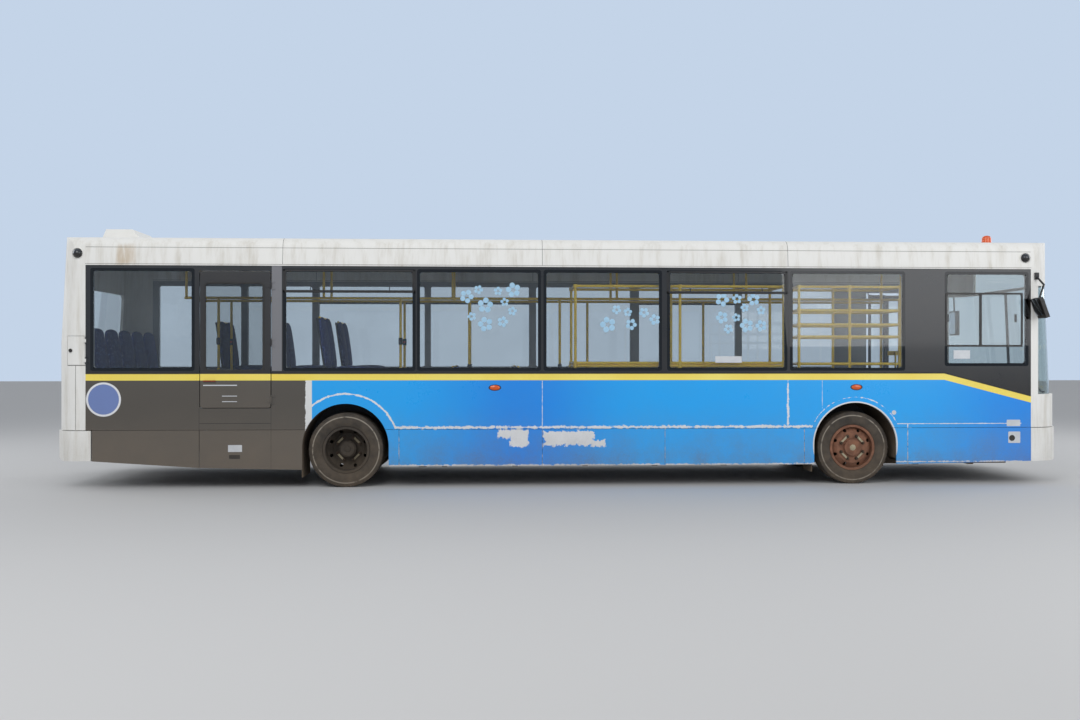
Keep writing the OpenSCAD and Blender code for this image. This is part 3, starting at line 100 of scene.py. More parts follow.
ground = added(bpy.ops.mesh.primitive_plane_add, size=120, location=(0, 0, 0))
ground.name = "studio_floor"
floor_paint = bpy.data.materials.new("studio_floor")
floor_paint.use_nodes = True
floor_tree = floor_paint.node_tree
floor_shader = floor_tree.nodes["Principled BSDF"]
floor_shader.inputs["Roughness"].default_value = 0.8
floor_grain = add_node(floor_tree, "ShaderNodeTexNoise", {"Scale": 3.0, "Detail": 6.0})
floor_ramp = add_node(floor_tree, "ShaderNodeMapRange", {"Value": floor_grain.outputs["Fac"],
    "To Min": 0.54, "To Max": 0.60})
floor_tree.links.new(floor_ramp.outputs[0], floor_shader.inputs["Base Color"])
ground.data.materials.append(floor_paint)

for lamp_name, place, power, width in [("key", (-5, -11, 9), 600, 8), ("fill", (8, -9, 5), 310, 7),
        ("back", (2, 11, 8), 330, 9), ("front_end", (13, 2, 5), 180, 5), ("rear_end", (-13, 2, 5), 180, 5)]:
    lamp = added(bpy.ops.object.light_add, type="AREA", location=place)
    lamp.name = "studio_" + lamp_name
    lamp.data.energy = power
    lamp.data.size = width
    aim = Vector((place[0] * 0.4, 0, 1.2)) - Vector(place)
    lamp.rotation_euler = aim.to_track_quat("-Z", "Y").to_euler()


# Chassis and its running gear: black painted steel rails and cross members, dull and caked with dry
# road mud from below. Road dirt thickens towards the ground and gathers in patches on every piece.
def effect_group(name, inputs, outputs):
    """An empty shader node group with named inputs and outputs."""
    group = bpy.data.node_groups.new(name, "ShaderNodeTree")
    for socket_name, kind, value in inputs:
        made = group.interface.new_socket(socket_name, in_out="INPUT", socket_type=kind)
        made.default_value = value
    for socket_name, kind in outputs:
        group.interface.new_socket(socket_name, in_out="OUTPUT", socket_type=kind)
    return group, group.nodes.new("NodeGroupInput"), group.nodes.new("NodeGroupOutput")


def calc(tree, operation, a, b=0.0, clamp=False):
    """One sum of two values."""
    return add_node(tree, "ShaderNodeMath", {0: a, 1: b}, operation=operation, use_clamp=clamp).outputs[0]


def times(tree, a, b):
    """One value times another, which is 1 where two masks are both 1."""
    return calc(tree, "MULTIPLY", a, b)


def over(tree, value, edge, soft):
    """1 where the value is over the edge and 0 under it, with a soft step."""
    return add_node(tree, "ShaderNodeMapRange", {"Value": value, "From Min": edge - soft,
        "From Max": edge + soft}, interpolation_type="SMOOTHSTEP").outputs[0]


def under(tree, value, edge, soft):
    """1 where the value is under the edge."""
    return calc(tree, "SUBTRACT", 1.0, over(tree, value, edge, soft))


def blended(tree, mask, first, second):
    """The first colour, covered by the second where the mask is 1; three numbers are screen values."""
    first, second = (colour(*c) if isinstance(c, tuple) and len(c) == 3 else c for c in (first, second))
    return add_node(tree, "ShaderNodeMix", {0: mask, 6: first, 7: second}, data_type="RGBA").outputs[2]


def on_bus(tree):
    """A point's place on the bus: the vector, and X, Y and Z apart."""
    spot = add_node(tree, "ShaderNodeTexCoord").outputs["Object"]
    return (spot,) + tuple(add_node(tree, "ShaderNodeSeparateXYZ", {0: spot}).outputs)


def patches(tree, spot, size, detail=6.0, roughness=0.55):
    """A noise whose patches are about this many to the metre."""
    return add_node(tree, "ShaderNodeTexNoise", {"Vector": spot, "Scale": size, "Detail": detail,
        "Roughness": roughness}).outputs["Fac"]


dirt, dirt_in, dirt_out = effect_group("road_dirt", [("Color", "NodeSocketColor", (1, 1, 1, 1)),
    ("Amount", "NodeSocketFloat", 0.5), ("Height", "NodeSocketFloat", 0.9),
    ("Roughness", "NodeSocketFloat", 0.4)], [("Color", "NodeSocketColor"), ("Roughness", "NodeSocketFloat"),
    ("Relief", "NodeSocketFloat")])
dirt_spot, _, _, dirt_z = on_bus(dirt)
coarse = patches(dirt, dirt_spot, 3.1, 8.0, 0.62)
fine = patches(dirt, dirt_spot, 60.0, 5.0)
low_down = calc(dirt, "SUBTRACT", 1.0, calc(dirt, "DIVIDE", dirt_z, dirt_in.outputs["Height"]), clamp=True)
gathered = calc(dirt, "MULTIPLY", calc(dirt, "ADD", calc(dirt, "POWER", low_down, 1.6), 0.08),
    calc(dirt, "ADD", calc(dirt, "MULTIPLY", coarse, 1.7), -0.15, clamp=True))
film = calc(dirt, "MULTIPLY", gathered, calc(dirt, "MULTIPLY", dirt_in.outputs["Amount"],
    calc(dirt, "ADD", fine, 0.5)), clamp=True)
dirt.links.new(blended(dirt, film, dirt_in.outputs["Color"], (112, 98, 82)), dirt_out.inputs["Color"])
dirt.links.new(calc(dirt, "ADD", dirt_in.outputs["Roughness"], calc(dirt, "MULTIPLY", film, 0.5),
    clamp=True), dirt_out.inputs["Roughness"])
dirt.links.new(fine, dirt_out.inputs["Relief"])


def new_material(name):
    """A material with its node tree and its shader node."""
    material = bpy.data.materials.new(name)
    material.use_nodes = True
    return material, material.node_tree, material.node_tree.nodes["Principled BSDF"]


def bumpy(tree, shader, height, strength, distance):
    """Gives a shader its relief."""
    bump = add_node(tree, "ShaderNodeBump", {"Strength": strength, "Distance": distance, "Height": height})
    tree.links.new(bump.outputs[0], shader.inputs["Normal"])


def finish_of(name, base, roughness, metallic=0.0, coat=0.0, soil=0.4, soil_top=1.0, relief=0.1,
        relief_size=0.0006, specular=0.5):
    """A finish: a base under road dirt up to soil_top, with a fine grain of relief_size metres.

    The base builds its colour in the tree, or is two screen colours and the size of their patches.
    """
    if isinstance(base, tuple):
        base = mottled(*base)
    material, tree, shader = new_material(name)
    layer = add_node(tree, "ShaderNodeGroup", node_tree=dirt)
    tree.links.new(base(tree), layer.inputs["Color"])
    for socket, value in (("Amount", soil), ("Height", soil_top), ("Roughness", roughness)):
        layer.inputs[socket].default_value = value
    tree.links.new(layer.outputs["Color"], shader.inputs["Base Color"])
    tree.links.new(layer.outputs["Roughness"], shader.inputs["Roughness"])
    bumpy(tree, shader, layer.outputs["Relief"], relief, relief_size)
    for socket, value in (("Metallic", metallic), ("Coat Weight", coat), ("Coat Roughness", 0.08),
            ("Specular IOR Level", specular)):
        shader.inputs[socket].default_value = value
    return material


def mottled(first, second, size):
    """A colour that drifts towards a second one in patches."""
    def build(tree):
        spot = on_bus(tree)[0]
        return blended(tree, over(tree, patches(tree, spot, size), 0.5, 0.35), first, second)
    return build


def dress(material, *names):
    """Gives CAD nodes a finish."""
    for name in names:
        nodes[name].data.materials.clear()
        nodes[name].data.materials.append(material)


underseal = finish_of("chassis_black", ((38, 37, 36), (66, 57, 48), 5), 0.7, soil=1.6, soil_top=1.3,
    relief=0.5, relief_size=0.004)
dress(underseal, "chassis_frame", "front_axle", "rear_axle", "track_rod", "tanks")
cast_iron = finish_of("engine_iron", ((78, 80, 80), (50, 44, 38), 7), 0.6, metallic=0.4, soil=1.2,
    soil_top=1.4, relief=0.5, relief_size=0.003)
dress(cast_iron, "engine_block", "knuckle_left", "knuckle_right")


def only(piece):
    """Selects one piece and makes it active."""
    bpy.ops.object.select_all(action="DESELECT")
    piece.select_set(True)
    bpy.context.view_layer.objects.active = piece


def settle():
    """Puts the active piece's place into its mesh."""
    bpy.ops.object.transform_apply(location=True, rotation=True, scale=True)


def mode(name):
    """Enters EDIT or OBJECT mode."""
    bpy.ops.object.mode_set(mode=name)


def applied(piece, kind, **settings):
    """Adds a modifier to the active piece and applies it."""
    change = piece.modifiers.new(kind, kind)
    for name, value in settings.items():
        setattr(change, name, value)
    bpy.ops.object.modifier_apply(modifier=change.name)


def from_points(points, edges, faces):
    """A new object from points, edges and faces, selected alone."""
    mesh = bpy.data.meshes.new("points")
    mesh.from_pydata(points, edges, faces)
    made = bpy.data.objects.new("points", mesh)
    scene.collection.objects.link(made)
    only(made)
    return made


def block(low, high, soft, steps=2):
    """A block between two corners with bevelled edges."""
    made = added(bpy.ops.mesh.primitive_cube_add, size=1, location=[(a + b) / 2 for a, b in zip(low, high)])
    made.scale = [abs(b - a) for a, b in zip(low, high)]
    settle()
    mode("EDIT")
    bpy.ops.mesh.bevel(offset=soft, segments=steps)
    mode("OBJECT")
    return made


def pick(piece, test):
    """Leaves the piece in edit mode with the faces selected for which the test holds."""
    mode("EDIT")
    bpy.ops.mesh.select_mode(type="FACE")
    bpy.ops.mesh.select_all(action="DESELECT")
    mode("OBJECT")
    for face in piece.data.polygons:
        face.select = bool(test(face))
    mode("EDIT")


def bar(start, end, radius, sides, soft=0.0):
    """A round bar between two points; soft bevels its ends."""
    start, end = Vector(start), Vector(end)
    made = added(bpy.ops.mesh.primitive_cylinder_add, vertices=sides, radius=radius,
        depth=(end - start).length, location=(start + end) / 2,
        rotation=(end - start).to_track_quat("Z", "Y").to_euler())
    settle()
    if soft:
        pick(made, lambda face: len(face.vertices) > 4)
        bpy.ops.mesh.bevel(offset=soft, segments=2)
        mode("OBJECT")
    return made


spin_axes = {"X": ((1, 0, 0), lambda a, r: (a, r, 0)), "Y": ((0, 1, 0), lambda a, r: (r, a, 0)),
    "Z": ((0, 0, 1), lambda a, r: (r, 0, a))}


def turned(profile, centre, axis, steps):
    """A round piece: a profile of (place along the axis, radius) points, spun about its axis."""
    direction, place = spin_axes[axis]
    made = from_points([place(a, r) for a, r in profile], [(i, i + 1) for i in range(len(profile) - 1)], [])
    mode("EDIT")
    bpy.ops.mesh.select_all(action="SELECT")
    bpy.ops.mesh.spin(steps=steps, angle=2 * math.pi, center=(0, 0, 0), axis=direction)
    bpy.ops.mesh.select_all(action="SELECT")
    bpy.ops.mesh.remove_doubles(threshold=0.00005)
    bpy.ops.mesh.normals_make_consistent(inside=False)
    mode("OBJECT")
    made.location = centre
    settle()
    return made


def joined(parts):
    """The parts as one object."""
    only(parts[0])
    for part in parts:
        part.select_set(True)
    if len(parts) > 1:
        bpy.ops.object.join()
    return bpy.context.object


def finished(name, parts, material, body="body", angle=35):
    """Joins parts into one named piece with its finish, smooths it and lets it ride on a body."""
    piece = joined(parts)
    piece.name = piece.data.name = name
    if material:
        piece.data.materials.clear()
        piece.data.materials.append(material)
    bpy.ops.object.shade_smooth_by_angle(angle=math.radians(angle))
    applied(piece, "WEIGHTED_NORMAL", keep_sharp=True)
    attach(piece, body)
    return piece


def twin(piece, shift=(0, 0, 0), mirrored=False):
    """A copy with its own mesh, moved, or mirrored to the other side of the bus."""
    made = bpy.data.objects.new(piece.name + "_twin", piece.data.copy())
    scene.collection.objects.link(made)
    if mirrored:
        made.data.transform(Matrix.Scale(-1, 4, (0, 1, 0)))
        made.data.flip_normals()
    made.data.transform(Matrix.Translation(shift))
    return made


# Springs and brakes: rubber air bellows with three convolutions, chambers for the brakes on both axles,
# and the exhaust box with its tail pipe.
bellow_rubber = finish_of("bellow_rubber", ((30, 30, 30), (52, 48, 44), 14), 0.8, soil=1.2, soil_top=1.2,
    relief=0.4, relief_size=0.002)
front_axle_x = 3.25
rear_axle_x = -2.575
bellows = []
for x, y, low, high, radius in [(front_axle_x, 0.565, 0.256, 0.616, 0.060),
        (-2.835, 0.395, 0.404, 0.736, 0.077), (-2.315, 0.395, 0.404, 0.736, 0.077)]:
    lobes = 3
    outline = [(low, radius * 0.8)]
    for lobe in range(lobes * 8 + 1):
        share = lobe / (lobes * 8)
        outline.append((low + (high - low) * share, radius + 0.022 * math.sin(math.pi * lobes * share) ** 2))
    outline.append((high, radius * 0.8))
    outline.append((low, radius * 0.8))
    half_bellow = turned(outline, (x, y, 0), "Z", 32)
    bellows += [half_bellow, twin(half_bellow, mirrored=True)]
finished("air_bellows", bellows, bellow_rubber)

chambers = []
for x, y, z, lean in [(3.10, 0.66, 0.33, 0.14), (-2.78, 0.53, 0.52, 0.16)]:
    chamber = turned([(0, 0), (0, 0.03), (0.02, 0.062), (0.05, 0.078), (0.055, 0.086), (0.065, 0.086),
        (0.07, 0.078), (0.11, 0.07), (0.125, 0.05), (0.13, 0)], (x, y - lean, z), "Y", 28)
    push_rod = bar((x, y - lean + 0.12, z), (x, y, z), 0.009, 10, 0.002)
    chambers += [chamber, push_rod, twin(chamber, mirrored=True), twin(push_rod, mirrored=True)]
finished("brake_chambers", chambers, underseal)

exhaust_steel = finish_of("exhaust_steel", ((120, 104, 88), (86, 58, 40), 11), 0.65, metallic=0.6, soil=0.9,
    soil_top=1.0, relief=0.6, relief_size=0.003)
silencer = turned([(-0.40, 0), (-0.40, 0.10), (-0.385, 0.118), (-0.37, 0.12), (0.37, 0.12), (0.385, 0.118),
    (0.40, 0.10), (0.40, 0)], (-4.95, 0.50, 0.48), "Y", 36)
silencer.data.transform(Matrix.Translation((0.30, 0, 0)))
tail = bpy.data.curves.new("tail_pipe", "CURVE")
tail.dimensions = "3D"
tail.bevel_depth = 0.036
tail.bevel_resolution = 5
run = tail.splines.new("BEZIER")
points = [(-4.65, 0.88, 0.48), (-4.86, 0.93, 0.46), (-5.15, 0.92, 0.36), (-5.40, 0.90, 0.29)]
run.bezier_points.add(len(points) - 1)
for point, place in zip(run.bezier_points, points):
    point.co = place
    point.handle_left_type = point.handle_right_type = "AUTO"
pipe = bpy.data.objects.new("tail_pipe", tail)
scene.collection.objects.link(pipe)
only(pipe)
bpy.ops.object.convert(target="MESH")
finished("exhaust", [silencer, bpy.context.object], exhaust_steel)


# Arch liners and mud flaps: black moulded plastic and rubber behind the wheels, brown with dried mud.
muddy = finish_of("muddy_plastic", ((58, 48, 38), (96, 76, 56), 6), 0.85, soil=1.4, soil_top=1.2,
    relief=0.6, relief_size=0.004)
dress(muddy, "arch_liners")


# Saloon floor: blue-grey safety flooring with pale flecks, and bright yellow nosings on the step edges
# and along the entrance.
def flecked(tree):
    spot = on_bus(tree)[0]
    fleck = add_node(tree, "ShaderNodeTexVoronoi", {"Vector": spot, "Scale": 130.0}).outputs["Distance"]
    worn = over(tree, patches(tree, spot, 1.6), 0.55, 0.2)
    ground_tone = blended(tree, worn, (62, 68, 78), (84, 86, 88))
    return blended(tree, over(tree, fleck, 0.16, 0.03), (150, 155, 165), ground_tone)


dress(finish_of("safety_floor", flecked, 0.6, soil=0.5, soil_top=1.2, relief=0.4), "floor")
nosing_yellow = finish_of("nosing_yellow", ((236, 190, 40), (196, 156, 60), 12), 0.6, soil=0.4,
    relief=0.5, relief_size=0.002)
nosings = []
for x, z in [(-1.75, 0.62), (-2.0, 0.90)]:
    tread = block((x - 0.045, -1.16, z), (x + 0.002, 1.16, z + 0.004), 0.0015)
    nose = block((x, -1.16, z - 0.045), (x + 0.004, 1.16, z + 0.004), 0.0015)
    nosings += [tread, nose]
nosings.append(block((4.27, 1.13, 0.340), (5.27, 1.172, 0.345), 0.0015))
finished("step_nosings", nosings, nosing_yellow)


# Side walls and skirts: aluminium panels in the livery. From the rear they are charcoal, a white band
# and blue film, with a yellow waist stripe that dips along the cab, and gloss black above it. The
# film has lifted in ragged white lines along the seams and has torn off in two places.
film_back = -2.949
band_back = -3.022
stripe_low = 1.206
stripe_high = 1.279
stripe_bend = 4.297
stripe_slope = 0.259
arch_z = 0.462
skirt_foot = 0.20
skirt_top = 0.655
# Upright marks in the film: place, low end, high end, half width
upright_marks = [(-0.362, skirt_foot, 1.20, 0.003), (1.040, skirt_foot, skirt_top, 0.003),
    (2.462, 0.66, 1.20, 0.010), (2.862, 0.88, 1.20, 0.002), (2.653, skirt_foot, skirt_top, 0.003),
    (3.864, skirt_foot, 0.70, 0.004), (-1.978, skirt_foot, skirt_top, 0.003)]
# Level marks: rear end, front end, height, half width, raggedness
level_marks = [(-2.02, 2.75, 0.672, 0.013, 0.10), (3.74, 5.21, 0.700, 0.004, 0.02),
    (-2.10, 2.77, 0.243, 0.008, 0.07), (3.73, 5.22, 0.262, 0.005, 0.05)]
# Rings round the wheel arches: axle, radius, half width, raggedness, low end
ring_marks = [(rear_axle_x, 0.592, 0.009, 0.050, 0.66), (front_axle_x, 0.488, 0.009, 0.006, 0.0),
    (front_axle_x, 0.545, 0.002, 0.05, 0.72)]
# Torn patches: middle, half length and half height
torn_patches = [(-0.69, 0.600, 0.17, 0.050), (-0.62, 0.530, 0.10, 0.075), (-0.06, 0.545, 0.28, 0.080),
    (0.27, 0.490, 0.08, 0.035)]
roundel = (-5.239, 0.996, 0.19)
upright_seams = (-4.195, -3.402)
# Height of the ridge across the panel under the emergency door, drawn as a dark line of painted shade
ridge_shade_height = 0.726
charcoal = (80, 75, 68)
stripe_tones = ((250, 222, 84), (255, 236, 116))
# Mouldings and plates seat half a millimetre inside the offside wall's face
wall_seat = -1.2195


def away_from(tree, value, place):
    """How far the value is from a place."""
    return calc(tree, "ABSOLUTE", calc(tree, "SUBTRACT", value, place))


def between(tree, value, low, high, soft=0.002):
    """1 where the value lies between two limits."""
    return times(tree, over(tree, value, low, soft), under(tree, value, high, soft))


def widest(tree, masks):
    """1 where any of the masks is 1."""
    total = masks[0]
    for mask in masks[1:]:
        total = calc(tree, "MAXIMUM", total, mask)
    return total


def reach(tree, x, z, place, height):
    """Distance in the side plane from a place at a height."""
    flat = add_node(tree, "ShaderNodeCombineXYZ", {0: calc(tree, "SUBTRACT", x, place),
        2: calc(tree, "SUBTRACT", z, height)}).outputs[0]
    return add_node(tree, "ShaderNodeVectorMath", {0: flat}, operation="LENGTH").outputs["Value"]


def livery(tree):
    spot, x, y, z = on_bus(tree)
    ragged = calc(tree, "SUBTRACT", patches(tree, spot, 24.0, 8.0, 0.72), 0.5)
    broad = patches(tree, spot, 1.1, 3.0)
    # Blue is deeper in the middle of the side and at the front
    deep = calc(tree, "MAXIMUM", under(tree, away_from(tree, x, -0.6), 0.7, 0.8), over(tree, x, 4.6, 0.9))
    blue = blended(tree, times(tree, deep, 0.75), (2, 168, 252), (2, 112, 230))
    blue = blended(tree, times(tree, broad, 0.35), blue, (24, 178, 250))
    panels = blended(tree, over(tree, x, film_back, 0.001), (228, 230, 230), blue)
    panels = blended(tree, over(tree, calc(tree, "ADD", x, times(tree, ragged, 0.05)), band_back, 0.001),
        blended(tree, over(tree, z, skirt_top, 0.02), (92, 85, 76), charcoal), panels)
    marks = []
    for place, low, high, half_width in upright_marks:
        near = calc(tree, "ADD", away_from(tree, x, place), times(tree, ragged, half_width * 6))
        marks.append(times(tree, under(tree, near, half_width, 0.001), between(tree, z, low, high)))
    for back, front, height, half_width, jag in level_marks:
        near = calc(tree, "ADD", away_from(tree, z, height), times(tree, ragged, jag))
        marks.append(times(tree, under(tree, near, half_width, 0.001), between(tree, x, back, front)))
    for axle, radius, half_width, jag, low in ring_marks:
        near = calc(tree, "ADD", away_from(tree, reach(tree, x, z, axle, arch_z), radius),
            times(tree, ragged, jag))
        marks.append(times(tree, under(tree, near, half_width, 0.001), over(tree, z, low, 0.004)))
    for middle, height, half_length, half_height in torn_patches:
        edge = calc(tree, "MAXIMUM", calc(tree, "SUBTRACT", away_from(tree, x, middle), half_length),
            calc(tree, "SUBTRACT", away_from(tree, z, height), half_height))
        marks.append(under(tree, calc(tree, "ADD", edge, times(tree, ragged, 0.16)), 0.0, 0.002))
    # Dark lines under the emergency door: its upright panel seams, and a painted shade line along the ridge
    # across the panel
    seam_and_ridge_shade_lines = [times(tree, under(tree, away_from(tree, z, ridge_shade_height), 0.003, 0.001),
        between(tree, x, *upright_seams))]
    for place in upright_seams:
        seam_and_ridge_shade_lines.append(times(tree, under(tree, away_from(tree, x, place), 0.002, 0.001),
            between(tree, z, skirt_foot, 0.900)))
    panels = blended(tree, widest(tree, seam_and_ridge_shade_lines), panels, (20, 19, 18))
    lifted = times(tree, widest(tree, marks), over(tree, x, film_back, 0.001))
    panels = blended(tree, lifted, panels, (232, 234, 236))
    # Roundel at the rear: a pale blue disc in a white ring
    far = reach(tree, x, z, roundel[0], roundel[1])
    for radius, paint in ((roundel[2], (232, 234, 238)), (roundel[2] - 0.022, (112, 134, 190))):
        panels = blended(tree, under(tree, far, radius, 0.001), panels, paint)
    # Stripe and the gloss black above it
    drop = times(tree, calc(tree, "MAXIMUM", calc(tree, "SUBTRACT", x, stripe_bend), 0.0), stripe_slope)
    level = calc(tree, "ADD", z, drop)
    yellow = blended(tree, over(tree, broad, 0.5, 0.3), *stripe_tones)
    panels = blended(tree, over(tree, level, stripe_low, 0.001), panels, yellow)
    panels = blended(tree, over(tree, level, stripe_high, 0.001), panels, (13, 13, 14))
    pillar = times(tree, between(tree, x, -3.393, -3.282), over(tree, z, 1.312, 0.002))
    panels = blended(tree, pillar, panels, (120, 120, 124))
    inside = under(tree, calc(tree, "ABSOLUTE", y), 1.196, 0.002)
    return blended(tree, inside, panels, (150, 152, 154))


body_paint = finish_of("livery_paint", livery, 0.26, coat=0.35, soil=0.75, soil_top=1.0, relief=0.15)
dress(body_paint, "side_wall_right", "side_wall_left", "skirt_panels")

rubber_black = finish_of("seal_rubber", ((22, 22, 22), (40, 38, 36), 25), 0.6, soil=0.3, soil_top=2.0,
    relief=0.3, relief_size=0.001)
moulding_z = 1.2845
waist_strips = []
for start, end in [((-5.43, moulding_z), (-4.192, moulding_z)),
        ((-3.396, moulding_z), (stripe_bend, moulding_z)), ((stripe_bend, moulding_z), (5.32, 1.0185))]:
    waist_strips.append(bar((start[0], wall_seat, start[1]), (end[0], wall_seat, end[1]), 0.006, 10))
waist_strips.append(bar((-5.43, -wall_seat, moulding_z), (4.248, -wall_seat, moulding_z), 0.006, 10))
finished("waist_moulding", waist_strips, rubber_black)


# Roof and end mouldings: white painted panels and gel coat, streaked with grey down the upright sides
# and with dark sealant lines where the panels meet.
# Sealant lines on the white mouldings: X or Z, place, the other way's low and high ends
sealant_lines = [("x", place, 2.508, 2.90) for place in (-3.274, -0.361, 2.464)]
sealant_lines += [("x", -5.543, 0.66, 1.372), ("z", 1.374, -5.64, -5.43), ("z", 2.692, -5.44, 5.33),
    ("z", 2.5045, -5.44, 5.33)]


def weathered_white(tree):
    spot, x, y, z = on_bus(tree)
    drawn = add_node(tree, "ShaderNodeMapping", {"Vector": spot, "Scale": (1.0, 1.0, 0.12)}).outputs[0]
    streak = patches(tree, drawn, 9.0, 7.0, 0.65)
    # The streaks run down the upright sides and fade on the roof's top
    strength = calc(tree, "SUBTRACT", 1.0, times(tree, over(tree, z, 2.78, 0.06), 0.75))
    tone = blended(tree, times(tree, over(tree, streak, 0.62, 0.2), strength),
        (238, 238, 235), (208, 204, 194))
    rust = times(tree, between(tree, x, -5.10, -4.90, 0.03), between(tree, z, 2.50, 2.72, 0.04))
    rust = times(tree, rust, over(tree, streak, 0.45, 0.15))
    tone = blended(tree, times(tree, rust, 0.5), tone, (176, 142, 84))
    lines = []
    for way, place, low, high in sealant_lines:
        first, other = (x, z) if way == "x" else (z, x)
        lines.append(times(tree, under(tree, away_from(tree, first, place), 0.0022, 0.0008),
            between(tree, other, low, high)))
    return blended(tree, widest(tree, lines), tone, (74, 72, 70))


white_paint = finish_of("weathered_white", weathered_white, 0.55, coat=0.03, soil=0.35, soil_top=0.9,
    relief=0.15, specular=0.25)
dress(white_paint, "roof", "front_moulding", "front_bumper", "rear_moulding", "rear_bumper",
    "engine_cover", "corner_flap")


# Glass: clear at the windscreen, and grey tinted along the sides, where a black border is printed round
# each pane. All of it has faint smears and a slight wave.
pane_gap = 0.034
side_bays = [(-5.383, -4.243), (-3.269, -1.793), (-1.776, -0.377), (-0.348, 1.005),
    (1.063, 2.456), (2.485, 3.834)]
cab_bay = (4.300, 5.296)
exit_bay = (-4.215, -3.300)
pane_low = 1.312
cab_pane_low = 1.365
pane_high = 2.458


def tinted(name, tint, edges=None):
    """Clear or tinted glass; edges gives a black border mask."""
    material, tree, shader = new_material(name)
    spot, x, y, z = on_bus(tree)
    smear = patches(tree, spot, 2.2)
    tone = blended(tree, smear, tint, tuple(c * 0.88 for c in tint[:3]) + (1,))
    if edges:
        tone = blended(tree, edges(tree, x, y, z), tone, (0.0008, 0.0008, 0.0008, 1))
    tree.links.new(tone, shader.inputs["Base Color"])
    rough = add_node(tree, "ShaderNodeMapRange", {"Value": smear, "From Min": 0.4, "From Max": 0.8,
        "To Min": 0.0, "To Max": 0.03}).outputs[0]
    tree.links.new(rough, shader.inputs["Roughness"])
    bumpy(tree, shader, patches(tree, spot, 1.4, 1.0), 0.08, 0.002)
    shader.inputs["Transmission Weight"].default_value = 1.0
    shader.inputs["IOR"].default_value = 1.45
    return material


def printed_border(tree, x, y, z):
    outside = None
    for back, front in side_bays + [cab_bay]:
        away = calc(tree, "SUBTRACT", away_from(tree, x, (back + front) / 2), (front - back) / 2 - pane_gap)
        outside = away if outside is None else calc(tree, "MINIMUM", outside, away)
    left_exit = calc(tree, "ADD", calc(tree, "SUBTRACT", away_from(tree, x, sum(exit_bay) / 2),
        (exit_bay[1] - exit_bay[0]) / 2 - pane_gap), under(tree, y, 0.0, 0.01))
    outside = calc(tree, "MINIMUM", outside, left_exit)
    low = calc(tree, "ADD", pane_low + pane_gap, times(tree, over(tree, x, 4.0, 0.01),
        cab_pane_low - pane_low))
    upright = calc(tree, "MAXIMUM", calc(tree, "SUBTRACT", low, z),
        calc(tree, "SUBTRACT", z, pane_high - pane_gap))
    away = calc(tree, "MAXIMUM", outside, upright)
    on_side = over(tree, calc(tree, "ABSOLUTE", y), 1.2, 0.002)
    return times(tree, over(tree, away, 0.0, 0.001), on_side)


dress(tinted("windscreen_glass", (0.74, 0.80, 0.77, 1)), "front_glass")
dress(tinted("tinted_glass", (0.80, 0.82, 0.81, 1), printed_border), "body_glass")


# Films on the glass: pale blue blossom motifs stuck on three panes of the driver's side, each petal a
# domed disc of thick vinyl, and blank white labels on the cab pane and one saloon pane.
film_blue = finish_of("film_blue", ((150, 196, 226), (176, 212, 236), 9), 0.45, relief=0.2)
film_white = finish_of("film_white", ((216, 220, 224), (198, 202, 208), 9), 0.45, relief=0.2)
pane_face = -1.2205
scatter = random.Random(11)
# Each motif: middle X and Z, half length, half height, number of blossoms
motifs = [(-0.98, 2.03, 0.29, 0.20, 13), (0.64, 1.93, 0.30, 0.10, 8), (1.92, 1.98, 0.25, 0.20, 12)]
petals = []
for middle_x, middle_z, half_x, half_z, count in motifs:
    placed = []
    for attempt in range(400):
        x = middle_x + scatter.uniform(-half_x, half_x)
        z = middle_z + scatter.uniform(-half_z, half_z)
        size = scatter.uniform(0.050, 0.094)
        clear = all(math.hypot(x - a, z - b) > (size + c) * 1.08 for a, b, c in placed)
        if clear and len(placed) < count:
            placed.append((x, z, size))
    for x, z, size in placed:
        lean = scatter.uniform(0, math.pi)
        for petal in range(5):
            turn = lean + petal * 2 * math.pi / 5
            centre = (x + size * 0.62 * math.cos(turn), pane_face, z + size * 0.62 * math.sin(turn))
            petals.append(turned([(0, 0), (0, size * 0.36), (-0.0008, size * 0.34), (-0.0012, 0)],
                centre, "Y", 12))
finished("glass_motifs", petals, film_blue)
labels = [block((back, pane_face - 0.001, low), (front, pane_face + 0.0005, high), 0.0004, 1)
    for back, front, low, high in ((1.620, 1.925, 1.405, 1.478), (4.405, 4.600, 1.450, 1.548))]
finished("glass_labels", labels, film_white)


# Window frames: black anodised sections round the hinged vents and the driver's sliding panes, with
# pull handles on the sliders and stays and catches on the vents.
black_anodised = finish_of("black_anodised", ((24, 24, 26), (40, 39, 38), 12), 0.35, metallic=0.3, coat=0.1,
    soil=0.3, soil_top=3.0, relief=0.2)
dress(black_anodised, "window_frames")
slide_box = (4.309, 5.226, 1.588, 2.215)
slide_split = 4.716
vent_low = 2.190
vent_high = 2.450
catches = []
for x, z in [(slide_box[0] + 0.034, 1.92), (slide_box[1] - 0.080, 1.92)]:
    catches.append(block((x - 0.012, -1.216, z - 0.045), (x + 0.012, -1.1965, z + 0.045), 0.004))
for back, front in [side_bays[1], side_bays[4]]:
    for share in (0.2, 0.8):
        x = back + (front - back) * share
        catches.append(block((x - 0.030, -1.190, vent_low + 0.004),
            (x + 0.030, -1.165, vent_low + 0.026), 0.004))
        catches.append(bar((x, -1.178, vent_low + 0.02), (x, -1.150, vent_low + 0.075), 0.005, 10, 0.001))
finished("window_catches", catches, black_anodised)
gasket_y = (-1.2185, -1.2120)
runner_lines = []
for z in (slide_box[2] + 0.012, slide_box[3] - 0.012):
    runner_lines.append(block((slide_box[0], gasket_y[0], z - 0.009),
        (slide_box[1], gasket_y[1], z + 0.009), 0.002))
for x in (slide_box[0] + 0.008, slide_split, slide_box[1] - 0.008):
    runner_lines.append(block((x - 0.008, gasket_y[0], slide_box[2]),
        (x + 0.008, gasket_y[1], slide_box[3]), 0.002))
finished("slider_gaskets", runner_lines, rubber_black)
vent_trims = []
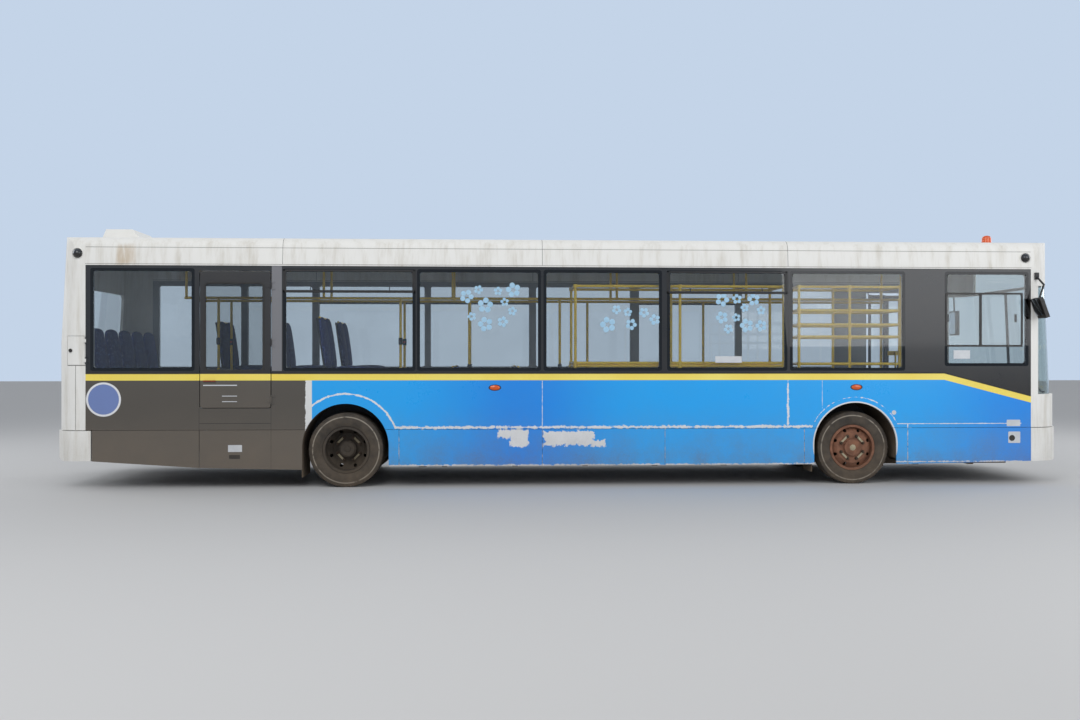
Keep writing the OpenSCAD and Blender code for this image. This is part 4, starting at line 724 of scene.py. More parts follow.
for side, bays in ((-1, [side_bays[1], side_bays[4]]), (1, [side_bays[1], side_bays[2], side_bays[4]])):
    for back, front in bays:
        for low, high in (((back, vent_low), (front, vent_low + 0.030)),
                ((back, vent_high - 0.016), (front, vent_high)),
                ((back, vent_low), (back + 0.024, vent_high)),
                ((front - 0.024, vent_low), (front, vent_high))):
            trim = block((low[0], -1.2226, low[1]), (high[0], -1.2198, high[1]), 0.0010, 1)
            vent_trims.append(twin(trim, mirrored=side > 0))
            bpy.data.objects.remove(trim)
finished("vent_trims", vent_trims, rubber_black)


# Lamps: clear headlamps over chromed bowls, red, amber and clear tail lamps and amber side markers, each
# a domed fluted lens in a dark rubber ring pressed into its mounting.
def lens_finish(name, tint, clear):
    """A moulded lens with fine flutes."""
    material, tree, shader = new_material(name)
    spot = on_bus(tree)[0]
    tree.links.new(blended(tree, patches(tree, spot, 30), tint, tuple(c * 0.7 for c in tint[:3]) + (1,)),
        shader.inputs["Base Color"])
    flutes = add_node(tree, "ShaderNodeTexWave", {"Vector": spot, "Scale": 60.0}, bands_direction="Y")
    bumpy(tree, shader, flutes.outputs["Fac"], 0.35, 0.001)
    shader.inputs["Roughness"].default_value = 0.12
    shader.inputs["Transmission Weight"].default_value = clear
    shader.inputs["Coat Weight"].default_value = 0.4
    return material


clear_lens = lens_finish("clear_lens", (0.90, 0.92, 0.94, 1), 0.8)
red_lens = lens_finish("red_lens", colour(186, 18, 12), 0.0)
amber_lens = lens_finish("amber_lens", colour(236, 96, 14), 0.0)
lamp_chrome = finish_of("lamp_chrome", ((206, 208, 212), (176, 178, 182), 20), 0.12, metallic=1.0,
    soil=0.2, relief=0.05)
head_lamps = [(0.500, 0.850), (0.690, 0.850)]
tail_lamps = [(0.760, red_lens), (0.910, amber_lens), (1.060, red_lens), (1.210, clear_lens)]
marker_z = 1.122
rings = []
bowls = []
lenses = {red_lens.name: [], amber_lens.name: [], clear_lens.name: []}
for side in (-1, 1):
    for y, z in head_lamps:
        lens = turned([(0, 0), (-0.003, 0.030), (-0.010, 0.058), (-0.020, 0.074), (-0.024, 0.074),
            (-0.024, 0)], (5.7790, side * y, z), "X", 40)
        ring = turned([(-0.004, 0.074), (0.002, 0.080), (-0.002, 0.088), (-0.022, 0.088), (-0.022, 0.074),
            (-0.004, 0.074)], (5.7770, side * y, z), "X", 40)
        lenses[clear_lens.name].append(lens)
        rings.append(ring)
        bowls.append(turned([(-0.0235, 0), (-0.0235, 0.020), (-0.0180, 0.050), (-0.0120, 0.0735),
            (-0.0245, 0.0738), (-0.0245, 0)], (5.7785, side * y, z), "X", 40))
        bowls.append(turned([(-0.0100, 0), (-0.0105, 0.007), (-0.0140, 0.010), (-0.0236, 0.010)],
            (5.7785, side * y, z), "X", 20))
    for z, glass in tail_lamps:
        lens = turned([(0, 0), (0.003, 0.024), (0.010, 0.046), (0.017, 0.056), (0.024, 0.058), (0.024, 0)],
            (-5.7935, side * 0.790, z), "X", 36)
        ring = turned([(0.004, 0.056), (0.000, 0.062), (0.004, 0.068), (0.024, 0.068), (0.024, 0.056),
            (0.004, 0.056)], (-5.7930, side * 0.790, z), "X", 36)
        lenses[glass.name].append(lens)
        rings.append(ring)
    for x in (3.262, -0.900):
        lens = turned([(0, 0), (0.004, 0.020), (0.010, 0.032), (0.014, 0.034), (0.014, 0)],
            (0, -0.0145, 0), "Y", 28)
        seat = turned([(0.0105, 0.0335), (0.0100, 0.0390), (0.0145, 0.0410), (0.0145, 0.0335),
            (0.0105, 0.0335)], (0, -0.0145, 0), "Y", 28)
        for part, group in ((lens, lenses[amber_lens.name]), (seat, rings)):
            part.data.transform(Matrix.Translation((x, wall_seat, marker_z))
                @ Matrix.Diagonal((1.75, 1.0, 0.86, 1)))
            group.append(twin(part, mirrored=side > 0))
            bpy.data.objects.remove(part)
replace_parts(finished("lamp_rings", rings, rubber_black), "lamps")
finished("lamp_bowls", bowls, lamp_chrome)
finished("lamp_lenses_clear", lenses[clear_lens.name], clear_lens)
finished("lamp_lenses_red", lenses[red_lens.name], red_lens)
finished("lamp_lenses_amber", lenses[amber_lens.name], amber_lens)


# Roof fittings: a white moulded ventilator pod with black slats across its forward face as painted shade,
# an amber beacon on a black base and two dark camera domes with white rims at the driver's side.
dress(white_paint, "roof_fittings")
beacon_place = (5.216, -0.350, 0)
finished("beacon_lens", [turned([(2.884, 0), (2.884, 0.0575), (2.890, 0.0585), (2.946, 0.056),
    (2.962, 0.050), (2.974, 0.038), (2.9795, 0.018), (2.981, 0)], beacon_place, "Z", 40)], amber_lens)
finished("beacon_base", [turned([(2.850, 0.066), (2.874, 0.066), (2.883, 0.060), (2.883, 0.050)],
    beacon_place, "Z", 40)], rubber_black)
dome_black = finish_of("dome_black", ((12, 12, 14), (24, 24, 26), 30), 0.08, coat=0.5,
    soil=0.2, soil_top=4.0)
domes = []
rims = []
dome_y, dome_z = -1.206, 2.620
for x in (-5.523, 5.260):
    dome = turned([(-0.053, 0), (-0.050, 0.020), (-0.042, 0.034), (-0.028, 0.0455), (-0.012, 0.0525),
        (0.0, 0.0535)], (x, dome_y, dome_z), "Y", 36)
    rim = turned([(-0.012, 0.0535), (-0.016, 0.058), (-0.010, 0.062), (0.006, 0.062), (0.006, 0.0535),
        (-0.012, 0.0535)], (x, dome_y, dome_z), "Y", 36)
    domes.append(dome)
    rims.append(rim)
finished("camera_domes", domes, dome_black)
finished("camera_rims", rims, white_paint)
# Black slats across the ventilator pod's forward face: painted shade standing in for the shade on that face.
painted_shade_slats = []
for k in range(7):
    z = 2.885 + k * 0.013
    painted_shade_slats.append(block((-5.168 - (z - 2.83) * 0.36, -0.27, z),
        (-5.160 - (z - 2.83) * 0.36, 0.27, z + 0.005), 0.0015))
finished("pod_painted_shade_slats", painted_shade_slats, rubber_black)


# Mirrors and wipers: black moulded mirror heads on tube arms with slightly convex glass in the rear
# face, and black wiper arms and blades.
moulded_black = finish_of("moulded_black", ((26, 26, 27), (44, 43, 42), 18), 0.5, soil=0.4, soil_top=3.0,
    relief=0.5, relief_size=0.0008)
dress(moulded_black, "mirrors", "wipers")
mirror_glass = finish_of("mirror_glass", ((196, 202, 208), (182, 188, 196), 4), 0.03, metallic=1.0, soil=0.1,
    soil_top=3.0, relief=0.02)


def mirror_pane(middle, wide, high, lean):
    """A domed pane with rounded corners that faces the rear."""
    pane = added(bpy.ops.mesh.primitive_grid_add, x_subdivisions=10, y_subdivisions=12, size=1)
    for point in pane.data.vertices:
        u, v = point.co.x * 2, point.co.y * 2
        pull = 1 - 0.06 * (u * v) ** 2
        point.co = (0.006 * (1 - (u * u + v * v) / 2), u * wide / 2 * pull, v * high / 2 * pull)
    pane.data.transform(Matrix.Scale(-1, 4, (1, 0, 0)))
    pane.data.transform(Matrix.Rotation(lean, 4, "Y"))
    pane.data.transform(Matrix.Translation(middle))
    return pane


finished("mirror_panes", [mirror_pane((5.325, -1.350, 2.0400), 0.165, 0.205, math.radians(-20)),
    mirror_pane((5.5450, 1.340, 1.950), 0.180, 0.305, 0.0)], mirror_glass)


# Emergency door: a charcoal skin with the livery's stripe across it and a grey inner face, a bonded pane
# in a black gasket, a red pull handle over white strips and three pins at its front edge.
def rounded(x, z, radius, y):
    """The points of an upright outline with rounded corners, seen from the driver's side."""
    steps = 6
    points = []
    for centre_x, centre_z, start in [(x[1] - radius, z[1] - radius, 0), (x[0] + radius, z[1] - radius, 90),
            (x[0] + radius, z[0] + radius, 180), (x[1] - radius, z[0] + radius, 270)]:
        for k in range(steps + 1):
            turn = math.radians(start + 90 * k / steps)
            points.append((centre_x + radius * math.cos(turn), y, centre_z + radius * math.sin(turn)))
    return points


def sheet(points, faces, soft):
    """A flat piece with its normals outwards and its edges bevelled."""
    made = from_points(points, [], faces)
    mode("EDIT")
    bpy.ops.mesh.select_all(action="SELECT")
    bpy.ops.mesh.normals_make_consistent(inside=False)
    mode("OBJECT")
    applied(made, "BEVEL", width=soft, segments=2, limit_method="ANGLE")
    return made


def ring_panel(x, z, radius, hole_x, hole_z, hole_radius, y, soft=0.003):
    """A flat panel between two Y values with a hole through it, both with rounded corners."""
    outlines = [outline for depth in y
        for outline in (rounded(x, z, radius, depth), rounded(hole_x, hole_z, hole_radius, depth))]
    count = len(outlines[0])
    faces = [(a * count + k, a * count + (k + 1) % count, b * count + (k + 1) % count, b * count + k)
        for a, b in ((0, 1), (1, 3), (3, 2), (2, 0)) for k in range(count)]
    return sheet([point for outline in outlines for point in outline], faces, soft)


def grown(span, by):
    """A pair of limits moved apart, or together where by is below zero."""
    return (span[0] - by, span[1] + by)


def slab(x, z, radius, y, soft=0.001):
    """A flat plate between two Y values with rounded corners."""
    front = rounded(x, z, radius, y[0])
    count = len(front)
    faces = [tuple(range(count)), tuple(range(2 * count - 1, count - 1, -1))]
    faces += [(k, k + count, (k + 1) % count + count, (k + 1) % count) for k in range(count)]
    return sheet(front + rounded(x, z, radius, y[1]), faces, soft)


def door_colours(tree):
    spot, x, y, z = on_bus(tree)
    broad = patches(tree, spot, 1.4, 4.0)
    skin = blended(tree, broad, charcoal, (94, 87, 78))
    yellow = blended(tree, broad, *stripe_tones)
    skin = blended(tree, over(tree, z, stripe_low, 0.001), skin, yellow)
    skin = blended(tree, over(tree, z, stripe_high, 0.001), skin, (24, 21, 20))
    return blended(tree, over(tree, y, -1.21, 0.003), skin, (120, 122, 124))


exit_paint = finish_of("exit_door_livery", door_colours, 0.35, coat=0.3, soil=0.7, soil_top=1.2, relief=0.2)
side_glass = nodes["body_glass"].data.materials[0]
exit_x = (-4.184, -3.407)
exit_z = (0.900, 2.425)
exit_pane_x = (-4.133, -3.483)
exit_pane_z = (1.314, 2.300)
exit_skin = ring_panel(exit_x, exit_z, 0.024, exit_pane_x, exit_pane_z, 0.040, (-1.220, -1.181))
pin_x, pin_y = -3.399, -1.229
pins = []
for z in (0.96, 1.60, 2.24):
    pins.append(bar((pin_x, pin_y, z), (pin_x, pin_y, z + 0.06), 0.008, 14, 0.001))
    pins.append(block((-3.460, -1.226, z + 0.004), (pin_x, wall_seat, z + 0.056), 0.0015))
skin = finished("exit_door_skin", [exit_skin] + pins, exit_paint, "emergency_door")
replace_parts(skin, "emergency_door")
finished("exit_door_pane", [slab(grown(exit_pane_x, 0.001), grown(exit_pane_z, 0.001), 0.040,
    (-1.210, -1.202))], tinted("exit_glass", (0.50, 0.52, 0.51, 1)), "emergency_door")
finished("exit_door_gasket", [ring_panel(grown(exit_pane_x, 0.012), grown(exit_pane_z, 0.012), 0.052,
    grown(exit_pane_x, -0.014), grown(exit_pane_z, -0.014), 0.030, (-1.2225, -1.2100))],
    rubber_black, "emergency_door")
handle_red = finish_of("handle_red", ((150, 44, 30), (112, 52, 36), 30), 0.45, soil=0.4,
    soil_top=2.0, relief=0.3)
grip_y, grip_z = -1.2330, 1.200
grip = bar((-4.148, grip_y, grip_z), (-4.012, grip_y, grip_z), 0.008, 14, 0.002)
feet = [bar((x, grip_y, grip_z), (x, -1.2190, grip_z), 0.006, 12, 0.001) for x in (-4.140, -4.020)]
finished("exit_door_handle", [grip] + feet, handle_red, "emergency_door")
white_strip = [block((back, -1.2212, low), (-3.777, -1.2196, high), 0.0006)
    for back, low, high in ((-4.150, 1.146, 1.158), (-3.942, 1.028, 1.036), (-3.942, 0.966, 0.974))]
finished("exit_door_strips", white_strip, film_white, "emergency_door")


# Entrance: folding panels of black frames round tinted panes, each with a bright kick plate inside. The
# post panels hang on pins at the corners of the doorway, and the leaves carry yellow grab bars.
door_black = finish_of("door_frame_black", ((22, 22, 23), (38, 37, 36), 12), 0.35, coat=0.2, soil=0.5,
    soil_top=1.3, relief=0.2)
grab_yellow = finish_of("tube_yellow", ((255, 218, 62), (252, 204, 40), 9), 0.32, coat=0.3,
    soil=0.1, relief=0.15)
panel_y = (1.173, 1.201)
panel_z = (0.360, 2.332)
fold_y = 1.204
fold_heights = (0.460, 1.350, 2.180)
knuckle = 0.025
for end, post_x, way in (("front", 5.250, -1), ("rear", 4.290, 1)):
    fold_x = post_x + way * 0.240
    for kind, near, far, low, high in (("panel", -0.006, 0.237, panel_z[0], panel_z[1]),
            ("leaf", 0.243, 0.476, panel_z[0] + 0.006, panel_z[1] - 0.006)):
        body = "door_" + kind + "_" + end
        x = sorted((post_x + way * near, post_x + way * far))
        hole = grown(x, -0.036)
        parts = [ring_panel(x, (low, high), 0.004, hole, (low + 0.130, high - 0.060), 0.030, panel_y, 0.002)]
        for z in fold_heights:
            for k in ((1,) if kind == "leaf" else (0, 2)):
                parts.append(bar((fold_x, fold_y, z + k * knuckle),
                    (fold_x, fold_y, z + (k + 1) * knuckle - 0.0003), 0.006, 14, 0.0008))
        if kind == "panel":
            for z in (panel_z[0] - 0.006, panel_z[1]):
                across = sorted((post_x - way * 0.006, post_x + way * 0.040))
                parts.append(block((across[0], panel_y[0], z), (across[1], 1.212, z + 0.006), 0.001))
            parts.append(bar((post_x, fold_y, 0.323), (post_x, fold_y, 0.359), 0.008, 16, 0.001))
            parts.append(bar((post_x, fold_y, 2.333), (post_x, fold_y, 2.395), 0.008, 16, 0.001))
        frame_piece = finished("entrance_" + kind + "_" + end, parts, door_black, body)
        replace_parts(frame_piece, body)
        finished("entrance_pane_" + kind + "_" + end, [slab(grown(hole, 0.001), (low + 0.129, high - 0.059),
            0.030, (1.183, 1.191))], side_glass, body)
        kick = block((hole[0], panel_y[0] - 0.0015, low + 0.015),
            (hole[1], panel_y[0] + 0.001, low + 0.115), 0.0008)
        finished("entrance_kick_plate_" + kind + "_" + end, [kick], lamp_chrome, body)
        if kind == "leaf":
            x_grab = (x[0] + x[1]) / 2
            y_grab = 1.140
            grab = bar((x_grab, y_grab, 0.95), (x_grab, y_grab, 1.55), 0.013, 18, 0.003)
            ends = [bar((x_grab, y_grab, z), (x_grab, 1.174, z), 0.010, 14, 0.002) for z in (0.97, 1.53)]
            crosspiece = block((x[0] + 0.02, 1.1715, 0.94), (x[1] - 0.02, 1.1745, 1.00), 0.001)
            upper = twin(crosspiece, (0, 0, 0.56))
            finished("entrance_grab_" + end, [grab, crosspiece, upper] + ends, grab_yellow, body)


# Small plates on the driver's side: a round white marker ahead of the front wheel's arch, two blank
# white plates near the front, one with a round socket, a third below the emergency door with a flat black
# sheet under it for the painted shade of a recess, and the corner flap's latch.
finished("marker_ring", [turned([(0.0, 0.0), (-0.0006, 0.026), (-0.0014, 0.026), (-0.0014, 0.0)],
    (3.702, wall_seat, 0.829), "Y", 24)], film_white)
finished("side_plates", [slab((5.036, 5.196), (0.667, 0.742), 0.006, (-1.2214, wall_seat), 0.0005),
    slab((5.053, 5.196), (0.472, 0.605), 0.010, (-1.2235, wall_seat), 0.0010),
    slab((-3.876, -3.722), (0.408, 0.485), 0.005, (-1.2214, wall_seat), 0.0005)], film_white)
finished("side_socket", [turned([(0, 0), (-0.001, 0.020), (-0.003, 0.030), (-0.003, 0.034), (0.001, 0.034)],
    (5.097, -1.2235, 0.531), "Y", 28)], rubber_black)
# A flat black sheet under the plate below the emergency door: painted shade of a recess.
finished("side_recess_painted_shade", [slab((-3.865, -3.744), (0.330, 0.374), 0.008, (-1.2208, wall_seat), 0.0004)],
    rubber_black)
finished("flap_latch", [turned([(0, 0), (-0.002, 0.014), (-0.004, 0.018), (-0.001, 0.021), (0.001, 0.021)],
    (-5.600, -1.2175, 1.540), "Y", 24)], rubber_black, "corner_flap")


# Pocket behind the corner flap: plates of plain white gel coat close the corner off from the saloon.
rear_x, front_x = -5.620, -5.436
outer_y, inner_y = -1.200, -1.086
low_z, high_z = 1.370, 1.710
plate_thick = 0.004
plates = [block(low, high, 0.001) for low, high in (
    ((rear_x, inner_y - plate_thick, low_z), (front_x, inner_y, high_z)),
    ((rear_x, outer_y + 0.02, low_z), (front_x, inner_y, low_z + plate_thick)),
    ((rear_x, outer_y + 0.02, high_z - plate_thick), (front_x, inner_y, high_z)),
    ((front_x - plate_thick, outer_y, low_z), (front_x, inner_y, high_z)))]
finished("flap_pocket", plates, white_paint)


# Wheels: black tyres with four tread grooves, notched shoulders and a worn bright ring on the sidewall,
# on rusty steel rims in front and dark greasy ones behind, held by eight nuts with pale tags in pairs.
axle_z = 0.420


def tyre_colours(tree):
    spot, x, y, z = on_bus(tree)
    worn = blended(tree, over(tree, patches(tree, spot, 9.0), 0.5, 0.3), (40, 38, 36), (82, 73, 63))
    front_reach = reach(tree, x, z, front_axle_x, axle_z)
    rear_reach = reach(tree, x, z, rear_axle_x, axle_z)
    away = calc(tree, "MINIMUM", front_reach, rear_reach)
    scuffed = under(tree, away_from(tree, away, 0.372), 0.006, 0.004)
    scuffed = times(tree, scuffed, over(tree, patches(tree, spot, 14.0), 0.42, 0.1))
    return blended(tree, scuffed, worn, (150, 142, 130))


tyre_rubber = finish_of("tyre_rubber", tyre_colours, 0.8, soil=0.45, soil_top=1.1,
    relief=0.4, relief_size=0.002)
groove_depth = 0.012
crown_radius = 0.4195
tread = []
for middle in (-0.060, -0.020, 0.020, 0.060):
    tread += [(middle - 0.006, crown_radius), (middle - 0.004, crown_radius - groove_depth),
        (middle + 0.004, crown_radius - groove_depth), (middle + 0.006, crown_radius)]
sidewall = [(0.096, 0.4185), (0.110, 0.412), (0.1165, 0.399), (0.1205, 0.380), (0.1225, 0.374),
    (0.1222, 0.366), (0.1235, 0.340), (0.1215, 0.310), (0.1120, 0.285), (0.1060, 0.274), (0.1020, 0.267)]
tyre_outline = ([(-a, r) for a, r in reversed(sidewall)] + tread + sidewall
    + [(0.070, 0.262), (-0.070, 0.262)])
tyre_outline.append(tyre_outline[0])
carcass = turned(tyre_outline, (0, 0, 0), "Y", 96)
lug = block((-0.0095, 0.0985, 0.403), (0.0095, 0.1195, 0.4150), 0.0025)
lugs = [carcass]
for k in range(48):
    for side in (-1, 1):
        copy = twin(lug, mirrored=side < 0)
        copy.data.transform(Matrix.Rotation(2 * math.pi * k / 48, 4, "Y"))
        lugs.append(copy)
bpy.data.objects.remove(lug)
tyre = joined(lugs)
front_track, outer_track, inner_track = 1.010, 1.062, 0.778
for side, word in ((-1, "right"), (1, "left")):
    single = twin(tyre, (front_axle_x, side * front_track, axle_z))
    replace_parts(finished("tread_tyre_front_" + word, [single], tyre_rubber, "wheel_front_" + word),
        "front_tyre_" + word)
    pair = [twin(tyre, (rear_axle_x, side * track, axle_z)) for track in (outer_track, inner_track)]
    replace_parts(finished("tread_tyres_rear_" + word, pair, tyre_rubber, "wheels_rear_" + word),
        "rear_tyres_" + word)
bpy.data.objects.remove(tyre)
rusty = finish_of("rusty_rim", ((158, 108, 82), (106, 66, 50), 16), 0.7, metallic=0.3, soil=0.5,
    relief=0.6, relief_size=0.003)
dress(rusty, "front_rim_left", "front_rim_right")
greasy = finish_of("greasy_rim", ((64, 57, 50), (36, 32, 28), 12), 0.6, metallic=0.3, soil=0.7,
    relief=0.6, relief_size=0.003)
dress(greasy, "rear_rims_left", "rear_rims_right")
nut_steel = finish_of("nut_steel", ((88, 72, 60), (58, 46, 38), 60), 0.55, metallic=0.7,
    soil=0.4, relief=0.5)
tag_cream = finish_of("tag_cream", ((206, 196, 168), (170, 158, 128), 40), 0.6, soil=0.7, soil_top=1.4)
stud_ring = 0.1375
# Wheel: centre X, face of its disc, hub face, hub radius, finish of the hub, body
for x, face, hub_face, hub_radius, paint, body in [
        (front_axle_x, 1.1000, 1.130, 0.060, tag_cream, "wheel_front_"),
        (rear_axle_x, 0.9320, 1.020, 0.080, greasy, "wheels_rear_")]:
    nuts = []
    tags = []
    for k in range(8):
        turn = math.radians(45 * k + 22.5)
        nut = bar((0, 0, 0), (0, 0.020, 0), 0.0165, 6)
        stud = bar((0, 0.018, 0), (0, 0.034, 0), 0.0105, 14, 0.0015)
        washer = turned([(0, 0.010), (0, 0.021), (0.004, 0.020), (0.005, 0.010)], (0, 0, 0), "Y", 18)
        for part in (nut, stud, washer):
            part.data.transform(Matrix.Translation((x + stud_ring * math.cos(turn), face,
                axle_z + stud_ring * math.sin(turn))))
            nuts.append(part)
    for k in range(4):
        turn = math.radians(90 * k + 45)
        tag = block((-0.012, 0.006, -0.058), (0.012, 0.012, 0.058), 0.003)
        tag.data.transform(Matrix.Rotation(-turn, 4, "Y"))
        reach_out = stud_ring * math.cos(math.radians(22.5)) + 0.004
        tag.data.transform(Matrix.Translation((x + reach_out * math.cos(turn), face,
            axle_z + reach_out * math.sin(turn))))
        tags.append(tag)
    hub = turned([(-0.030, hub_radius + 0.006), (-0.010, hub_radius + 0.006), (-0.004, hub_radius),
        (0.000, hub_radius - 0.010), (0.003, hub_radius * 0.45), (0.010, hub_radius * 0.40),
        (0.012, hub_radius * 0.2), (0.012, 0)], (x, hub_face, axle_z), "Y", 40)
    for side, word in ((-1, "right"), (1, "left")):
        for name, parts, material in (("nuts_", nuts, nut_steel), ("tags_", tags, tag_cream),
                ("hub_", [hub], paint)):
            copies = [twin(part, mirrored=side < 0) for part in parts]
            finished(name + body + word, copies, material, body + word)
    for part in nuts + tags + [hub]:
        bpy.data.objects.remove(part)


# Seats: foam cushions and backs in blue patterned moquette with a stitched border, crowned between
# their seams, on black pressed pans with tube legs and a yellow grab handle along the top.
def weave(tree):
    spot, x, y, z = on_bus(tree)
    cells = add_node(tree, "ShaderNodeTexVoronoi", {"Vector": spot, "Scale": 34.0}).outputs["Distance"]
    tufts = patches(tree, spot, 420.0, 2.0)
    cloth = blended(tree, over(tree, cells, 0.32, 0.05), (64, 92, 168), (34, 48, 110))
    cloth = blended(tree, under(tree, cells, 0.10, 0.03), cloth, (196, 170, 80))
    return blended(tree, times(tree, tufts, 0.35), cloth, (20, 26, 60))


moquette = finish_of("moquette", weave, 0.92, soil=0.15, relief=0.8, relief_size=0.0015)
seat_black = finish_of("seat_shell_black", ((30, 31, 33), (48, 47, 46), 14), 0.55, soil=0.3, relief=0.4)


def cushion(size, crown):
    """A pad that fills a box from the origin: crowned on top and on its sides, with a seam round it."""
    deep, wide, thick = size
    seam_in = 0.035
    pad = added(bpy.ops.mesh.primitive_cube_add, size=2)
    mode("EDIT")
    bpy.ops.mesh.subdivide(number_cuts=9)
    mode("OBJECT")
    for point in pad.data.vertices:
        u, v, w = point.co
        round_u = u * math.sqrt(max(0.0, 1 - 0.16 * v * v - 0.20 * w * w))
        round_v = v * math.sqrt(max(0.0, 1 - 0.16 * u * u - 0.20 * w * w))
        swell = (1 - u ** 4) * (1 - v ** 4)
        top = w * (1 - crown / thick * 2 * (1 - swell)) if w > 0 else w
        border = max(abs(u), abs(v))
        groove = math.exp(-((border - (1 - seam_in / min(deep, wide) * 4)) / 0.045) ** 2)
        if w > 0.55:
            top -= groove * 0.10
        point.co = (round_u * deep / 2, round_v * wide / 2, top * thick / 2)
    applied(pad, "SUBSURF", levels=1, render_levels=1)
    return pad


def stood(pad):
    """The pad turned to stand with its crown to the front."""
    pad.data.transform(Matrix.Rotation(math.radians(-90), 4, "Y"))
    pad.data.transform(Matrix.Rotation(math.radians(180), 4, "Z"))
    return pad


def tilted(piece, lean, place):
    """The piece leant about Y and moved to its place."""
    piece.data.transform(Matrix.Rotation(lean, 4, "Y"))
    piece.data.transform(Matrix.Translation(place))
    return piece


# Rows: seat back's X, side, floor, height of the wheel box under the window legs
seat_rows = ([(-4.25, 1, 0.90, 0.0), (-3.50, 1, 0.90, 0.0), (-2.75, 1, 0.90, 0.10), (-2.75, -1, 0.90, 0.10)]
    + [(-1.25 + 0.75 * k, 1, 0.34, 0.0) for k in range(5)]
    + [(-1.25 + 0.75 * k, -1, 0.34, 0.0) for k in range(2)])
seat_middle = 0.755
place_w = 0.405
back_lean = math.radians(-8)
base = cushion((0.42, place_w, 0.078), 0.020)
rest = stood(cushion((0.60, place_w, 0.058), 0.014))
bases, rests, shells, legs, handles = [], [], [], [], []
for x, side, level, raise_by in seat_rows:
    for share in (-1, 1):
        y = side * (seat_middle + share * 0.2055)
        bases.append(twin(base, (x + 0.218, y, level + 0.430)))
        rests.append(tilted(twin(rest), back_lean, (x - 0.034 - 0.048, y, level + 0.730)))
    y = side * seat_middle
    pan = block((x + 0.005, y - 0.395, level + 0.376), (x + 0.425, y + 0.395, level + 0.393), 0.006)
    shell = block((-0.010, -0.400, -0.300), (0.004, 0.400, 0.290), 0.006)
    shells += [pan, tilted(shell, back_lean, (x - 0.034 - 0.078, y, level + 0.725))]
    for edge, foot in ((-0.33, level if side > 0 else level + raise_by),
            (0.33, level + raise_by if side > 0 else level)):
        for along in (0.10, 0.34):
            legs.append(bar((x + along, y + edge, foot), (x + along, y + edge, level + 0.378), 0.014,
                14, 0.002))
        legs.append(block((x + 0.07, y + edge - 0.022, foot),
            (x + 0.37, y + edge + 0.022, foot + 0.006), 0.0015))
    top = (x - 0.130, level + 1.030)
    handles.append(bar((top[0], y - 0.36, top[1] - 0.012), (top[0], y + 0.36, top[1] - 0.012), 0.011,
        16, 0.003))
# Rear bench of five places
for k in range(5):
    y = -0.93 + k * 0.465
    wide_base = twin(base, (-5.088, y, 1.195))
    wide_rest = tilted(twin(rest), back_lean, (-5.300 - 0.034 - 0.040, y, 1.50))
    bases.append(wide_base)
    rests.append(wide_rest)
shells.append(block((-5.298, -1.160, 1.150), (-4.902, 1.160, 1.162), 0.004))
for name, parts in (("seat_cushions", bases), ("seat_backs", rests)):
    pads = finished(name, parts, moquette, angle=60)
    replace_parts(pads, "seats")
finished("seat_shells", shells, seat_black)
finished("seat_legs", legs, underseal)
finished("seat_handles", handles, grab_yellow)
bpy.data.objects.remove(base)
bpy.data.objects.remove(rest)
driver_y = -0.700
driver_cushion = cushion((0.47, 0.48, 0.10), 0.026)
driver_cushion.data.transform(Matrix.Translation((4.800, driver_y, 0.850)))
driver_back = tilted(stood(cushion((0.70, 0.46, 0.085), 0.020)), math.radians(-10),
    (4.560 - 0.045 - 0.062, driver_y, 1.235))
finished("driver_seat", [driver_cushion, driver_back], moquette, angle=60)
bellows_skirt = block((4.640, -0.860, 0.505), (4.950, -0.540, 0.795), 0.020)
rails_under = [block((4.620, y - 0.02, 0.500), (4.970, y + 0.02, 0.530), 0.004) for y in (-0.84, -0.56)]
finished("driver_seat_base", [bellows_skirt] + rails_under, seat_black)


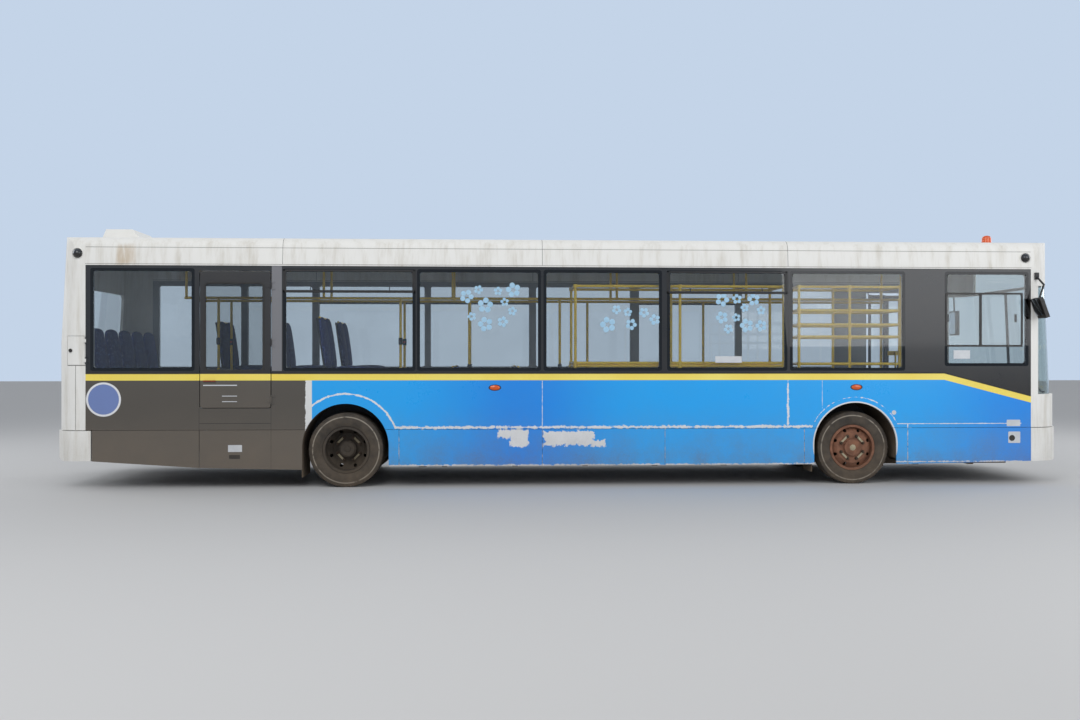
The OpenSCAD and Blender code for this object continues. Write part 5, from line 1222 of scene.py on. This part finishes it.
# Cab: grained black dashboard with four dials and six switches, a steering wheel in the same black, and
# a grey partition and cab door. The handrails and luggage racks are yellow tube.
grained = finish_of("grained_black", ((34, 34, 36), (46, 46, 48), 12), 0.6, soil=0.15,
    relief=0.6, relief_size=0.001)
dress(grained, "dashboard", "steering_wheel")
panel_grey = finish_of("panel_grey", ((112, 116, 120), (98, 102, 106), 6), 0.5, soil=0.2,
    soil_top=1.2, relief=0.4)
dress(panel_grey, "cab_partition", "cab_door")
dress(grab_yellow, "handrails", "luggage_racks")
dial_white = finish_of("dial_white", ((210, 212, 208), (190, 192, 190), 60), 0.3)
dials = [turned([(0, 0), (-0.001, radius - 0.004), (-0.004, radius), (0.010, radius)], (0, 0, 0), "X", 28)
    for radius in (0.052, 0.052, 0.030, 0.030)]
for dial, (y, z) in zip(dials, ((-0.775, 1.045), (-0.625, 1.045), (-0.870, 1.050), (-0.530, 1.050))):
    tilted(dial, math.radians(12), (5.198, y, z))
finished("dials", dials, dial_white)
switches = [block((5.1300 + 0.020 * row, -0.985 + 0.028 * k, 0.945 + 0.034 * row),
    (5.1400 + 0.020 * row, -0.967 + 0.028 * k, 0.965 + 0.034 * row), 0.0015)
    for row in range(2) for k in range(3)]
finished("switches", switches, moulded_black)


# Saloon trim: white lamp strips along the ceiling and round red bell pushes in black housings clamped
# to the poles, as usual for the type.
lamp_strip = finish_of("lamp_strip", ((226, 228, 226), (206, 208, 206), 4), 0.35, soil=0.1)
strips = [block((x, side * 0.62 - 0.055, 2.775), (x + 1.50, side * 0.62 + 0.055, 2.800), 0.012, 3)
    for side in (-1, 1) for x in (-4.95, -3.25, -1.55, 0.15, 1.85, 3.55)]
finished("ceiling_lamps", strips, lamp_strip)
push_red = finish_of("push_red", ((184, 32, 26), (150, 30, 26), 50), 0.4, soil=0.1)
pole_y = 0.322
poles = [(x, side * pole_y) for x in (-4.20, -2.03, -1.20) for side in (-1, 1)]
poles += [(0.30, pole_y), (1.80, pole_y), (-0.10, -pole_y), (4.12, -pole_y)]
housings = []
pushes = []
for x, y in poles:
    top = 1.62 if x < -2 else 1.30
    housings.append(block((x - 0.024, y - 0.024, top), (x + 0.024, y + 0.024, top + 0.085), 0.008, 3))
    inward = -1 if y > 0 else 1
    push = turned([(0, 0), (0.003, 0.012), (0.0, 0.0145), (-0.006, 0.0145)], (0, 0, 0), "Y", 20)
    push.data.transform(Matrix.Scale(inward, 4, (0, 1, 0)))
    if inward < 0:
        push.data.flip_normals()
    push.data.transform(Matrix.Translation((x, y + inward * 0.0245, top + 0.042)))
    pushes.append(push)
finished("push_housings", housings, moulded_black)
finished("bell_pushes", pushes, push_red)
